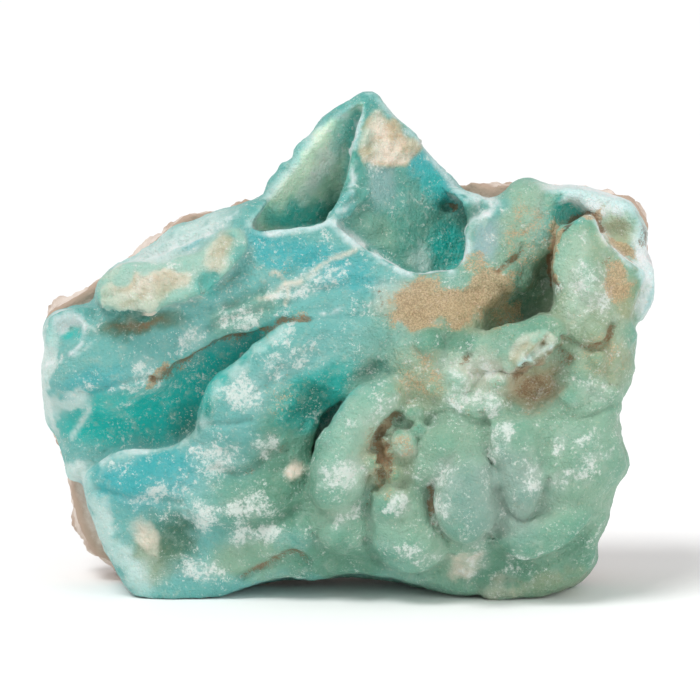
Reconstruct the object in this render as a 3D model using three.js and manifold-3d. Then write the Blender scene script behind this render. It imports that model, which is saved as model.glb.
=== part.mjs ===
// Blue-green aragonite on a rind of brown host rock: a hand specimen that stands on its lower edge.
// Millimetres, +Z up. The botryoidal face looks along -Y. The origin is on the table, under the middle of the piece.
// The crust is one rounded slab with the outline of the piece. Swells, ridges and lobes grow out of it, pockets and
// channels are hollowed from it, and each of these is a short step on one distance field, which is then meshed.

import * as THREE from "three";
import { mergeVertices } from "three/addons/utils/BufferGeometryUtils.js";
import Module from "manifold-3d";

// Driving dimensions
const CRUST_FRONT = -9; // the slab's face before anything grows on it
const CRUST_BACK = 17; // the crust's raw back, trimmed later where the host rock begins
const CRUST_RIM = 9; // how roundly the slab's face turns into its edge
const ROCK_FRONT = -2;
const ROCK_BACK = 24;
const ROCK_RIM = 8;
const SEAM_DEPTH = 5; // where the crust meets the host rock
const SEAM_STEP = 12; // how much further back that is behind the pockets
const SEAM_GAP = 0.3; // clearance between the two solids
const CRUST_CELL = 2.9; // size of the cells that the crust is meshed with
const ROCK_CELL = 4.6;

const wasm = await Module();
wasm.setup();

// Distance fields: negative inside, in millimetres

const clamp01 = (t) => Math.min(1, Math.max(0, t));

// The smaller of two distances, rounded over a band of width blend.
function softMin(a, b, blend) {
  const h = Math.max(blend - Math.abs(a - b), 0) / blend;
  return Math.min(a, b) - (h * h * blend) / 4;
}

const softMax = (a, b, blend) => -softMin(-a, -b, blend);

// An ellipsoid turned in the picture plane: positive turns raise its right-hand end.
function lobe(x, y, z, rx, ry, rz, turn = 0) {
  const angle = THREE.MathUtils.degToRad(turn);
  const [cos, sin] = [Math.cos(angle), Math.sin(angle)];
  return {
    centre: [x, y, z],
    reach: Math.max(rx, ry, rz),
    distance(px, py, pz) {
      const [dx, dy, dz] = [px - x, py - y, pz - z];
      const u = dx * cos + dz * sin;
      const w = dz * cos - dx * sin;
      const near = Math.hypot(u / rx, dy / ry, w / rz);
      const slope = Math.hypot(u / (rx * rx), dy / (ry * ry), w / (rz * rz));
      return slope > 0 ? (near * (near - 1)) / slope : -Math.min(rx, ry, rz);
    },
  };
}

// A round ridge through points [x, y, z, radius], drawn as one smooth curve.
function ridge(points, steps = 4) {
  const curve = new THREE.CatmullRomCurve3(points.map(([x, y, z]) => new THREE.Vector3(x, y, z)));
  const spans = points.length - 1;
  const nodes = [];
  for (let i = 0; i <= spans * steps; i++) {
    const t = i / steps;
    const span = Math.min(Math.floor(t), spans - 1);
    const radius = THREE.MathUtils.lerp(points[span][3], points[span + 1][3], t - span);
    nodes.push([...curve.getPoint(t / spans).toArray(), radius]);
  }
  const box = new THREE.Box3().setFromPoints(nodes.map(([x, y, z]) => new THREE.Vector3(x, y, z)));
  const ball = box.getBoundingSphere(new THREE.Sphere());
  return {
    centre: ball.center.toArray(),
    reach: ball.radius + Math.max(...points.map((p) => p[3])),
    distance(px, py, pz) {
      let best = Infinity;
      for (let i = 1; i < nodes.length; i++) {
        const [ax, ay, az, ar] = nodes[i - 1];
        const [bx, by, bz, br] = nodes[i];
        const [ex, ey, ez] = [bx - ax, by - ay, bz - az];
        const [dx, dy, dz] = [px - ax, py - ay, pz - az];
        const t = clamp01((dx * ex + dy * ey + dz * ez) / (ex * ex + ey * ey + ez * ez));
        const away = Math.hypot(dx - ex * t, dy - ey * t, dz - ez * t);
        best = Math.min(best, away - ar - (br - ar) * t);
      }
      return best;
    },
  };
}

// A slab with a closed outline of [x, z] points, between two depths, its edges rounded by rim.
function slab(outline, front, back, rim) {
  const curve = new THREE.CatmullRomCurve3(
    outline.map(([x, z]) => new THREE.Vector3(x, 0, z)), true, "catmullrom", 0.5);
  const corners = curve.getPoints(outline.length * 3).slice(0, -1);
  const memory = new Map();
  function flat(px, pz) {
    const key = px * 4096 + pz;
    if (!memory.has(key)) memory.set(key, outlineDistance(corners, px, pz));
    return memory.get(key);
  }
  const middle = (front + back) / 2;
  const half = (back - front) / 2;
  return {
    centre: [0, middle, 50],
    reach: 120,
    distance: (px, py, pz) => softMax(flat(px, pz), Math.abs(py - middle) - half, rim),
  };
}

// Signed distance in the XZ plane to a closed chain of corners.
function outlineDistance(corners, px, pz) {
  let nearest = Infinity;
  let inside = false;
  for (let i = 0, j = corners.length - 1; i < corners.length; j = i++) {
    const [a, b] = [corners[i], corners[j]];
    const [ex, ez] = [b.x - a.x, b.z - a.z];
    const t = clamp01(((px - a.x) * ex + (pz - a.z) * ez) / (ex * ex + ez * ez));
    nearest = Math.min(nearest, Math.hypot(px - a.x - ex * t, pz - a.z - ez * t));
    if (a.z > pz !== b.z > pz && px < ((b.x - a.x) * (pz - a.z)) / (b.z - a.z) + a.x) inside = !inside;
  }
  return inside ? -nearest : nearest;
}

// A convex block inside planes, each given by three of its points and a point known to be inside.
function block(inside, faces, rim) {
  const heart = new THREE.Vector3(...inside);
  const planes = faces.map((corners) => {
    const plane = new THREE.Plane().setFromCoplanarPoints(...corners.map((c) => new THREE.Vector3(...c)));
    return plane.distanceToPoint(heart) > 0 ? plane.negate() : plane;
  });
  return {
    centre: inside,
    reach: 60,
    distance(px, py, pz) {
      const point = new THREE.Vector3(px, py, pz);
      return planes.map((plane) => plane.distanceToPoint(point)).reduce((a, b) => softMax(a, b, rim));
    },
  };
}

// One step of the sculpture: grow adds a shape and hollow takes one away, each with a soft seam.
const grow = (blend, ...shapes) => shapes.map((shape) => ({ shape, blend, sign: 1 }));
const hollow = (blend, ...shapes) => shapes.map((shape) => ({ shape, blend, sign: -1 }));

function fieldOf(steps) {
  return (px, py, pz) => {
    let d = 1e3;
    for (const { shape, blend, sign } of steps) {
      const [cx, cy, cz] = shape.centre;
      const atLeast = Math.hypot(px - cx, py - cy, pz - cz) - shape.reach;
      if (atLeast > sign * d + blend) continue; // too far off to change anything here
      const other = shape.distance(px, py, pz);
      d = sign > 0 ? softMin(d, other, blend) : softMax(d, -other, blend);
    }
    return d;
  };
}

// The crust

const CRUST_OUTLINE = [
  [-41, 0], [-46, 6], [-50, 15], [-53, 23], [-57, 29], [-59.5, 38], [-59.5, 46], [-59, 54], [-52, 57.5],
  [-48.5, 62], [-42, 66.5], [-34, 72.5], [-26, 75.5], [-18, 76], [-8, 72.5], [-1, 72], [5, 67.5], [11, 65],
  [19, 64], [23, 69], [27, 76.5], [35, 79], [46, 78], [54.5, 74.5], [57, 67], [60, 61.5], [56.5, 55],
  [55.5, 48], [51.5, 39], [52.5, 32], [54, 27], [50.5, 21], [49.5, 12], [43, 3.5], [31, -1], [22, 1],
  [10, 3.5], [-3, 5.5], [-15, 4.5], [-26, 1.5], [-33, -1],
];

// Broad swells that set how far each part of the face stands out.
const swells = () => [
  ...grow(6,
    lobe(23, 0, 23, 29, 20, 22),
    lobe(-20, 2, 20, 27, 16, 17),
    lobe(-41, 0, 44, 15, 12, 13),
    lobe(20, -3, 54, 19, 11, 9)),
  ...grow(3,
    ridge([[-46, -6, 60.5, 5.5], [-36, -8, 63.5, 6.5], [-27, -7.5, 67, 6], [-21, -5, 70.5, 4.5]]),
    ridge([[-20, -4, 67.5, 6], [-8, -6, 66, 7], [1, -6, 64, 6.8], [8, -6, 60, 6.5], [16, -5, 57.5, 6.5],
      [25, -3, 57, 6]])),
];

// The folds of the left half, and the channels between them.
const leftFolds = () => [
  ...grow(2,
    ridge([[-37, -8, 49, 4.5], [-28, -9.5, 53, 5.5], [-15, -9, 58, 5]]),
    ridge([[-50, -5, 23, 6], [-38, -8.5, 23.5, 7.5], [-27, -10, 29, 8], [-20, -10.5, 38, 8], [-11, -9, 46.5, 7.5],
      [0, -8, 53, 6]])),
  ...hollow(1.2,
    ridge([[-10, -17, 54.5, 1.5], [-19, -14, 50, 3.6], [-27, -12, 45.5, 5.2], [-33, -11, 40, 6.8],
      [-41, -11.5, 35.5, 6.5], [-53, -13, 32.5, 5.5]]),
    ridge([[4, -13, 45.5, 2.6], [-4, -14.5, 43.5, 3.8], [-10, -16, 37.5, 3.8], [-13, -18, 31, 3]]),
    ridge([[-48, -13.5, 55.5, 2.6], [-41, -15, 54, 3.2], [-31, -15.5, 58, 2.4]])),
  ...grow(2,
    lobe(-20, -6, 17, 14, 10, 9),
    lobe(-38, -6, 8, 9, 9, 9.5),
    lobe(-22, -12.5, 31, 6, 6, 5)),
  ...hollow(2,
    lobe(-34, -15, 13.5, 5.5, 5, 4.5, 30),
    ridge([[-21, -16, 5, 2], [-9, -16, 9, 2.4]])),
  ...grow(1.5,
    lobe(-55.5, -4, 54, 4, 5, 3.8),
    ridge([[-59, -4, 48, 2.5], [-54, -7, 49, 2.6], [-50, -9, 53, 2.6]])),
  ...hollow(1.5, lobe(-55, -9, 52, 3.4, 4, 1.8)),
];

// The grape-like cluster at the lower right, from its deepest lobes to the ones that hang in front.
const lowerRightCluster = () => [
  ...grow(1,
    lobe(-1.5, -13, 14.5, 7, 9, 7),
    lobe(9.5, -13, 17.5, 8, 10, 9),
    lobe(13.5, -14, 10.5, 8, 9, 7),
    lobe(30, -12, 14.5, 6, 8, 6),
    lobe(44, -9, 28.5, 10, 12, 9.5),
    lobe(38.5, -12, 15.5, 11.5, 11, 9.5),
    ridge([[7, -16, 41, 4.2], [3.5, -17, 40, 4.8], [0, -18, 36, 5], [-1.5, -19, 31.5, 5], [-2, -19, 27, 5.4],
      [-3, -18, 22.5, 6]]),
    ridge([[11.5, -15, 24, 4.6], [14.5, -17.5, 29.5, 5], [19, -18, 33, 5], [25, -18, 33, 5]])),
  ...hollow(1.2,
    ridge([[8, -21, 35, 1.6], [6.3, -21, 31, 2.8], [5.5, -20.5, 27, 2.6], [4.5, -21, 22, 1.8], [3.4, -21, 18, 1.4]])),
  ...grow(0.8,
    ridge([[30.5, -16, 34, 5], [32.3, -18, 28, 5.4], [33.2, -19.5, 21.5, 5.6]]),
    ridge([[20.5, -18, 29, 5], [23, -20.5, 23.5, 6.4], [23.3, -21, 19.5, 6.8]]),
    lobe(10.2, -17.5, 31.3, 2.7, 3, 2.8),
    lobe(4, -17.5, 28, 2.2, 2.6, 2.2)),
  ...hollow(0.8, lobe(15.6, -21, 21.5, 1.6, 6, 3)),
];

// The flange under the cluster, which the piece stands on at the right.
const lowerRim = () => grow(2,
  ridge([[-3, -7, 8.5, 4], [12, -9, 7, 4.3], [25, -10, 4.5, 4.8], [31, -11, 3.5, 5], [42, -8, 7, 5],
    [48, -6, 15, 4.5]]));

// Knobs, and the stub of a broken stalactite.
const rightKnobs = () => [
  ...grow(1.5,
    lobe(19, -11, 41, 7, 7, 5.5),
    lobe(27, -12, 41, 6, 7, 5),
    lobe(24, -13, 48, 6, 7, 5),
    lobe(45, -10, 42.5, 8, 9, 6.5),
    lobe(51, -7, 46.5, 4.8, 8, 6),
    lobe(45, -11, 50, 5.5, 7, 5),
    lobe(20, -10, 51.5, 7, 8, 5.5),
    lobe(8.5, -9, 60.5, 4.8, 5, 4.4)),
  ...hollow(2, lobe(36, -20, 43, 5, 7, 3.2, 15)),
];

// The big lobe at the top right, the curtain beside it and the deep slot between them.
const upperRight = () => [
  ...grow(3, lobe(31, -2, 69, 9.5, 12, 12.5)),
  ...grow(2, block([48, -8, 62], [
    [[40.5, 0, 56], [40.5, -10, 56], [41.8, -10, 73]],
    [[42, -21, 57], [42, -19.5, 72], [57, -10, 60]],
    [[41, -15, 72], [46.5, -15, 76], [41, 0, 72]],
    [[46.5, -15, 76], [58, -8, 64], [46.5, 0, 75]],
    [[57.5, -9, 64], [55.5, -9, 54], [57.5, 0, 64]],
    [[40, 0, 52], [50, 0, 51], [50, -10, 52]],
    [[40, 3, 52], [50, 3, 52], [50, 3, 60]],
  ], 4.5)),
  ...hollow(1,
    lobe(39.2, -13, 69, 1.8, 12, 6.5),
    lobe(38, -13, 63, 2.8, 14, 4.5),
    lobe(36.5, -12, 60, 4, 14, 4.2, 15),
    lobe(31, -15, 55, 3.6, 9, 2, 30),
    lobe(51.8, -9, 73, 4.2, 8, 3, -20),
    lobe(43, -13, 76.5, 3, 6, 2.6)),
  ...grow(1.2,
    ridge([[31, -15, 50, 4.2], [36, -17, 52.6, 4.8], [40.5, -15, 53.4, 3.8]]),
    lobe(36.6, -19, 49.8, 6.2, 4, 3, 33)),
];

// The horn behind the ledge, with a pocket on either side of its septum.
const APEX = [3.2, 9, 99.2];
const SHOULDER = [-8.5, 7, 91]; // where the left edge of the horn bends
const HORN_LEFT = [-20.5, 5, 72];
const HORN_RIGHT = [21.5, 11, 80.5];
const SEPTUM_FOOT = [-3, -4, 73.5];
const HORN_BACK = 8; // how far the horn's sides run back from those corners

const behind = ([x, y, z]) => [x, y + HORN_BACK, z];

const horn = () => [
  ...grow(1.5, block([2, 9, 82], [
    [HORN_LEFT, SHOULDER, behind(SHOULDER)],
    [SHOULDER, APEX, behind(APEX)],
    [APEX, HORN_RIGHT, behind(HORN_RIGHT)],
    [APEX, HORN_LEFT, SEPTUM_FOOT],
    [APEX, HORN_RIGHT, SEPTUM_FOOT],
    [[-20, 20, 70], [22, 20, 70], [4, 15, 99]],
    [[-20, 0, 58], [22, 0, 58], [0, 10, 58]],
  ], 1.5)),
  ...hollow(0.8,
    block([-4, 6, 79], [
      [[-17.5, 3, 74], [-5.5, 4, 90], [-0.5, 14, 78]],
      [[1.6, 6, 94], [-3.8, -4, 74], [0, 15, 78]],
      [[-18, -2, 72.5], [-3.5, -4, 73.5], [-10, 14, 66]],
      [[-20, 15, 70], [5, 15, 70], [0, 15, 90]],
    ], 0.8)),
  ...hollow(1,
    lobe(13, -3, 73, 12, 14, 10.5, -12),
    lobe(19.5, 7, 77, 2.4, 4, 2.2)),
  ...grow(1, lobe(14.5, 8, 66, 3.4, 3, 3), lobe(8, 8, 70, 3.8, 3, 3.4)),
];

const crustField = fieldOf([
  ...grow(1, slab(CRUST_OUTLINE, CRUST_FRONT, CRUST_BACK, CRUST_RIM)),
  ...swells(),
  ...leftFolds(),
  ...lowerRim(),
  ...lowerRightCluster(),
  ...rightKnobs(),
  ...upperRight(),
  ...horn(),
]);

// The host rock

const ROCK_OUTLINE = [
  [-33, 0], [-45, 6], [-52, 13], [-55, 23], [-57, 34], [-60, 45], [-59.5, 54.5], [-54, 59.5], [-42, 66.5],
  [-32, 74.5], [-19, 76.5], [-9, 80], [4, 84], [14, 81.5], [23, 80], [38, 78.5], [49, 77], [57, 71.5],
  [57.5, 63], [54, 50], [50, 34], [48, 16], [40, 4], [24, 0], [14, 7], [-6, 8], [-16, 1],
];

// Slow waves, which roughen the rock.
const unevenness = (x, y, z) =>
  1.1 * Math.sin(0.31 * x + 1.3 * Math.sin(0.27 * z)) * Math.cos(0.29 * z + 0.4 * y)
  + 0.5 * Math.sin(0.83 * x + 0.6 * z) * Math.sin(0.71 * z - 0.9 * y);

const rockBody = fieldOf([
  ...grow(1, slab(ROCK_OUTLINE, ROCK_FRONT, ROCK_BACK, ROCK_RIM)),
  ...grow(4, lobe(-24, 12, 10, 11, 9, 11), lobe(27, 12, 10, 12, 9, 11), lobe(5, 17, 45, 40, 11, 30)),
  ...hollow(5, lobe(-44, 26, 30, 12, 7, 16), lobe(30, 30, 62, 18, 8, 14), lobe(2, 12, -1, 14, 20, 7)),
]);

const rockField = (x, y, z) => rockBody(x, y, z) + unevenness(x, y, z);

// Meshing: one vertex in each cell that the surface crosses, and one quad round each crossed edge of the grid

const CORNERS = [0, 1, 2, 3, 4, 5, 6, 7].map((i) => [i & 1, (i >> 1) & 1, (i >> 2) & 1]);
const EDGES = [[0, 1], [2, 3], [4, 5], [6, 7], [0, 2], [1, 3], [4, 6], [5, 7], [0, 4], [1, 5], [2, 6], [3, 7]];

class Grid {
  constructor(low, high, cell) {
    this.low = low;
    this.cell = cell;
    this.count = low.map((value, i) => Math.ceil((high[i] - value) / cell) + 1);
    this.values = new Float32Array(this.count[0] * this.count[1] * this.count[2]);
  }

  index(i, j, k) {
    return i + this.count[0] * (j + this.count[1] * k);
  }

  point(i, j, k) {
    return [this.low[0] + i * this.cell, this.low[1] + j * this.cell, this.low[2] + k * this.cell];
  }

  // Calls visit(i, j, k) for each grid point, or for each cell where short is 1.
  each(short, visit) {
    for (let k = 0; k < this.count[2] - short; k++)
      for (let j = 0; j < this.count[1] - short; j++)
        for (let i = 0; i < this.count[0] - short; i++) visit(i, j, k);
  }

  corners(i, j, k) {
    return CORNERS.map(([a, b, c]) => this.index(i + a, j + b, k + c));
  }
}

// The groups of a cell's corners that are on one side of the surface and joined by edges of the cell.
function cornerGroups(inside, wanted) {
  const group = CORNERS.map((_, n) => (inside[n] === wanted ? n : -1));
  for (let pass = 0; pass < 3; pass++)
    for (const [a, b] of EDGES)
      if (group[a] >= 0 && group[b] >= 0) group[a] = group[b] = Math.min(group[a], group[b]);
  return [...new Set(group.filter((g) => g >= 0))].map((g) => CORNERS.keys().filter((n) => group[n] === g).toArray());
}

// Fills the few cells where two sheets of the surface meet, so that the mesh has no pinched edge.
function fillPinches(grid) {
  const shallow = -0.15 * grid.cell;
  for (let changed = true; changed; ) {
    changed = false;
    grid.each(1, (i, j, k) => {
      const at = grid.corners(i, j, k);
      const inside = at.map((n) => grid.values[n] < 0);
      const outer = cornerGroups(inside, false);
      const inner = cornerGroups(inside, true);
      if (outer.length < 2 && inner.length < 2) return;
      const smallest = outer.sort((a, b) => a.length - b.length)[0];
      for (const n of smallest) grid.values[at[n]] = shallow;
      changed = true;
    });
  }
}

// Moves a point onto the surface along the field's slope, by a third of a cell at most.
function settle(point, field, cell) {
  const start = [...point];
  const step = 0.05;
  const reach = cell / 3;
  for (let pass = 0; pass < 2; pass++) {
    const [x, y, z] = point;
    const d = field(x, y, z);
    const slope = [
      (field(x + step, y, z) - field(x - step, y, z)) / (2 * step),
      (field(x, y + step, z) - field(x, y - step, z)) / (2 * step),
      (field(x, y, z + step) - field(x, y, z - step)) / (2 * step),
    ];
    const steep = Math.max(0.3, slope[0] ** 2 + slope[1] ** 2 + slope[2] ** 2);
    point = point.map((value, n) =>
      THREE.MathUtils.clamp(value - (d * slope[n]) / steep, start[n] - reach, start[n] + reach));
  }
  return point;
}

function meshOf(field, low, high, cell) {
  const grid = new Grid(low, high, cell);
  grid.each(0, (i, j, k) => {
    grid.values[grid.index(i, j, k)] = field(...grid.point(i, j, k));
  });
  fillPinches(grid);

  const vertexOf = new Map();
  const positions = [];
  grid.each(1, (i, j, k) => {
    const values = grid.corners(i, j, k).map((n) => grid.values[n]);
    const sum = [0, 0, 0];
    let crossings = 0;
    for (const [a, b] of EDGES) {
      if (values[a] < 0 === values[b] < 0) continue;
      const t = values[a] / (values[a] - values[b]);
      for (let n = 0; n < 3; n++) sum[n] += THREE.MathUtils.lerp(CORNERS[a][n], CORNERS[b][n], t);
      crossings++;
    }
    if (!crossings) return;
    const corner = grid.point(i, j, k);
    vertexOf.set(grid.index(i, j, k), positions.length / 3);
    positions.push(...settle(corner.map((value, n) => value + (sum[n] / crossings) * cell), field, cell));
  });

  const faces = [];
  const at = (n) => new THREE.Vector3().fromArray(positions, 3 * n);
  grid.each(1, (i, j, k) => {
    const here = grid.values[grid.index(i, j, k)] < 0;
    const sides = [[1, 0, 0], [0, 1, 0], [0, 0, 1]];
    sides.forEach(([a, b, c], n) => {
      const there = grid.values[grid.index(i + a, j + b, k + c)] < 0;
      if (here === there) return;
      const [u, v] = [sides[(n + 1) % 3], sides[(n + 2) % 3]];
      const cellAt = (s, t) => vertexOf.get(grid.index(
        i - s * u[0] - t * v[0], j - s * u[1] - t * v[1], k - s * u[2] - t * v[2]));
      const ring = [cellAt(1, 1), cellAt(0, 1), cellAt(0, 0), cellAt(1, 0)];
      if (there) ring.reverse();
      const [p, q, r, s] = ring;
      if (at(p).distanceTo(at(r)) < at(q).distanceTo(at(s))) faces.push(p, q, r, p, r, s);
      else faces.push(q, r, s, q, s, p);
    });
  });
  const geometry = new THREE.BufferGeometry();
  geometry.setAttribute("position", new THREE.Float32BufferAttribute(relax(positions, faces), 3));
  geometry.setIndex(faces);
  return geometry;
}

// Draws each vertex part of the way to the middle of its neighbours, which evens out ragged creases.
function relax(positions, faces) {
  const share = 0.35;
  const sums = new Float64Array(positions.length);
  const counts = new Uint16Array(positions.length / 3);
  for (let n = 0; n < faces.length; n++) {
    const next = faces[n % 3 === 2 ? n - 2 : n + 1];
    counts[faces[n]]++;
    for (let axis = 0; axis < 3; axis++) sums[3 * faces[n] + axis] += positions[3 * next + axis];
  }
  return positions.map((value, n) =>
    THREE.MathUtils.lerp(value, sums[n] / counts[Math.floor(n / 3)], share));
}

// Solids: the field's meshes, trimmed to the table and to the seam between crust and rock

function solidOf(geometry) {
  const bare = geometry.clone();
  bare.deleteAttribute("normal");
  bare.deleteAttribute("uv");
  const merged = mergeVertices(bare, 1e-4);
  return new wasm.Manifold(new wasm.Mesh({
    numProp: 3,
    vertProperties: merged.attributes.position.array,
    triVerts: new Uint32Array(merged.index.array),
  }));
}

function geometryOf(solid) {
  const mesh = solid.getMesh();
  const geometry = new THREE.BufferGeometry();
  geometry.setAttribute("position", new THREE.BufferAttribute(mesh.vertProperties, 3));
  geometry.setIndex(new THREE.BufferAttribute(mesh.triVerts, 1));
  geometry.computeVertexNormals();
  return geometry;
}

// The largest body of a solid, without the bubbles that are left inside where two hollows pass close by.
function mainBody(solid) {
  return solid.decompose().reduce((best, body) => (body.volume() > best.volume() ? body : best));
}

// Everything under the table top.
function belowTable() {
  return solidOf(new THREE.BoxGeometry(200, 200, 40).translate(0, 0, -20));
}

// Everything behind the seam: a block whose front is gently uneven and steps back behind the pockets.
function behindSeam(shift) {
  const [wide, deep, high] = [160, 60, 140];
  const geometry = new THREE.BoxGeometry(wide, deep, high, 12, 1, 12).translate(0, deep / 2, high / 2 - 15);
  const position = geometry.attributes.position;
  for (let n = 0; n < position.count; n++) {
    if (position.getY(n) > 1) continue;
    const [x, z] = [position.getX(n), position.getZ(n)];
    const climb = THREE.MathUtils.smoothstep(z, 58, 78) * THREE.MathUtils.smoothstep(30 - Math.abs(x - 2), 0, 12);
    position.setY(n, SEAM_DEPTH + SEAM_STEP * climb + 1.5 * Math.sin(0.11 * x) * Math.cos(0.13 * z) + shift);
  }
  return solidOf(geometry);
}

function meshNamed(name, solid, colour, roughness) {
  const material = new THREE.MeshStandardMaterial({ color: colour, roughness, metalness: 0, flatShading: true });
  const mesh = new THREE.Mesh(geometryOf(solid), material);
  mesh.name = name;
  return mesh;
}

function makeCrust() {
  const raw = solidOf(meshOf(crustField, [-66, -36, -6], [66, 24, 104], CRUST_CELL));
  const trimmed = raw.subtract(belowTable()).subtract(behindSeam(0));
  return meshNamed("aragonite_crust", mainBody(trimmed), 0x7fc4b8, 0.5);
}

function makeRock() {
  const raw = solidOf(meshOf(rockField, [-66, -14, -7], [66, 36, 104], ROCK_CELL));
  const trimmed = raw.subtract(belowTable()).intersect(behindSeam(SEAM_GAP));
  return meshNamed("matrix_rock", mainBody(trimmed), 0x8a6f5c, 0.9);
}

const specimen = new THREE.Group();
specimen.name = "aragonite_specimen";
specimen.add(makeCrust(), makeRock());

export default specimen;
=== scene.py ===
"""A hand specimen of blue-green botryoidal aragonite on brown host rock, on a pale studio floor.

Both pieces are sculpted as distance fields in millimetres, in the part's own frame, and meshed from a fine
grid of voxels. The crust carries its colour and masks for painted shade in hollows, frosting, ochre sand
and dirt, which its material reads; the rock carries a mask for painted shade in its hollows.
"""
import logging
import math
from dataclasses import dataclass, field
from enum import Enum

import bmesh
import bpy
import numpy as np
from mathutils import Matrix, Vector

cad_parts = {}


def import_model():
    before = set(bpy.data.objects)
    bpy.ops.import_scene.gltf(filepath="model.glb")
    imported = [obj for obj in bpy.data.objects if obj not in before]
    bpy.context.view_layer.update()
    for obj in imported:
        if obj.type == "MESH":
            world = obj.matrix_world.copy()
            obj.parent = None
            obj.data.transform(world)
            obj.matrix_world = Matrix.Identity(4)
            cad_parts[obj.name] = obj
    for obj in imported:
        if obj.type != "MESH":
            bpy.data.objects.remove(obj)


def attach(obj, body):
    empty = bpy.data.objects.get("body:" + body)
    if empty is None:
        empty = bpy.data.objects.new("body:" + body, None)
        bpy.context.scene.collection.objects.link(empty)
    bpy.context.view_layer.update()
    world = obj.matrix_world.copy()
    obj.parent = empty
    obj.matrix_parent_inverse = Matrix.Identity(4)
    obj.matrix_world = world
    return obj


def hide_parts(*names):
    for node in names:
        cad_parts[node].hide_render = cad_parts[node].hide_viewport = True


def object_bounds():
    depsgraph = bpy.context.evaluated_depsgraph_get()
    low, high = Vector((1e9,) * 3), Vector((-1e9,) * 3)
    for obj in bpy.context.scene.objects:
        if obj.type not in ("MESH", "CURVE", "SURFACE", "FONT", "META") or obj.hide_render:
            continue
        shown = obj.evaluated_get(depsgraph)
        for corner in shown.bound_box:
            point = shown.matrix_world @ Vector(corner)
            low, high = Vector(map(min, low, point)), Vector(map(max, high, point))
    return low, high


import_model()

import openvdb
from mathutils import Vector, noise

CAD_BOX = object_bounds()
LOG = logging.getLogger("aragonite_specimen")
MM = 0.001
FAR = 99.0  # a depth in mm past every surface
ANYWHERE = (-FAR, FAR)
FOOT = 0.1  # height in mm of the flat underside

Colour = tuple[int, int, int]
Place = tuple[float, float, float]
Point = tuple[float, float]
Span = tuple[float, float]


# The picture plane

@dataclass(frozen=True)
class Picture:
    """The picture plane: places in it are mm to the right and mm up, at the aim's distance."""

    elevation: float = 7.0
    distance: float = 700.0
    aim: Place = (0.0, -12.0, 49.6)
    aim_height: float = 49.28

    def scale(self, y: np.ndarray) -> np.ndarray:
        """How much smaller things at depth y look."""
        return self.distance / (self.distance + y - self.aim[1])

    def across(self, x: np.ndarray, y: np.ndarray) -> np.ndarray:
        """Picture place to the right of a point."""
        return x * self.scale(y)

    def up(self, y: np.ndarray, z: np.ndarray) -> np.ndarray:
        """Picture height of a point.

        Args:
            y: Depth in mm.
            z: Height in mm.

        Returns:
            Millimetres up in the picture plane.
        """
        angle = math.radians(self.elevation)
        rise = (y - self.aim[1]) * math.sin(angle) + (z - self.aim[2]) * math.cos(angle)
        return self.aim_height + rise * self.scale(y)

    def height(self, y: float, up: float) -> float:
        """Height of the point at a depth that is seen at a picture height.

        Args:
            y: Depth in mm.
            up: Picture height in mm.

        Returns:
            Height in mm.
        """
        angle = math.radians(self.elevation)
        rise = (up - self.aim_height) / self.scale(y) - (y - self.aim[1]) * math.sin(angle)
        return self.aim[2] + rise / math.cos(angle)


PICTURE = Picture()


# Distance fields

def soft_min(a: np.ndarray, b: np.ndarray, blend: float) -> np.ndarray:
    """The smaller of two distances, rounded over a band.

    Args:
        a: First distances.
        b: Second distances.
        blend: Width of the band.

    Returns:
        The blended distances.
    """
    near = np.maximum(blend - np.abs(a - b), 0.0) / blend
    return np.minimum(a, b) - near * near * (blend / 4)


def soft_max(a: np.ndarray, b: np.ndarray, blend: float) -> np.ndarray:
    """The larger of two distances, rounded over a band of width blend."""
    return -soft_min(-a, -b, blend)


def smooth(value: np.ndarray, low: float, high: float) -> np.ndarray:
    """Hermite step from 0 at low to 1 at high; low may be the larger one."""
    t = np.clip((value - low) / (high - low), 0.0, 1.0)
    return t * t * (3 - 2 * t)


def curve(points: np.ndarray, steps: int, closed: bool) -> np.ndarray:
    """A Catmull-Rom curve through points.

    Args:
        points: One row for each point.
        steps: Pieces in each span.
        closed: Whether the last point joins the first.

    Returns:
        The points of the finer chain.
    """
    p = np.array(points, float)
    ends = np.vstack([p[-1], p, p[:2]]) if closed else np.vstack([2 * p[0] - p[1], p, 2 * p[-1] - p[-2]])
    out = []
    for i in range(len(ends) - 3):
        a, b, c, d = ends[i:i + 4]
        for t in np.arange(steps) / steps:
            out.append(0.5 * (2 * b + (c - a) * t + (2 * a - 5 * b + 4 * c - d) * t ** 2
                              + (3 * b - 3 * c + d - a) * t ** 3))
    return np.array(out) if closed else np.array(out + [p[-1]])


@dataclass(frozen=True)
class Lobe:
    """An ellipsoid turned in the picture plane; a positive turn raises its right-hand end."""

    centre: Place
    radii: Place
    turn: float = 0.0

    def box(self) -> tuple[np.ndarray, np.ndarray]:
        """Lowest and highest corner."""
        wide = max(self.radii[0], self.radii[2]) if self.turn else 0.0
        half = np.maximum(np.array(self.radii), [wide, 0.0, wide])
        return np.array(self.centre) - half, np.array(self.centre) + half

    def distance(self, x: np.ndarray, y: np.ndarray, z: np.ndarray) -> np.ndarray:
        """Signed distance to the lobe at points.

        Args:
            x: Picture places to the right in mm.
            y: Depths in mm.
            z: Picture heights in mm.

        Returns:
            One distance in mm for each point, negative inside.
        """
        cos, sin = math.cos(math.radians(self.turn)), math.sin(math.radians(self.turn))
        dx, dy, dz = x - self.centre[0], y - self.centre[1], z - self.centre[2]
        u, w = dx * cos + dz * sin, dz * cos - dx * sin
        rx, ry, rz = self.radii
        near = np.sqrt((u / rx) ** 2 + (dy / ry) ** 2 + (w / rz) ** 2)
        slope = np.sqrt((u / rx ** 2) ** 2 + (dy / ry ** 2) ** 2 + (w / rz ** 2) ** 2)
        return near * (near - 1) / np.maximum(slope, 1e-6)


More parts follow.
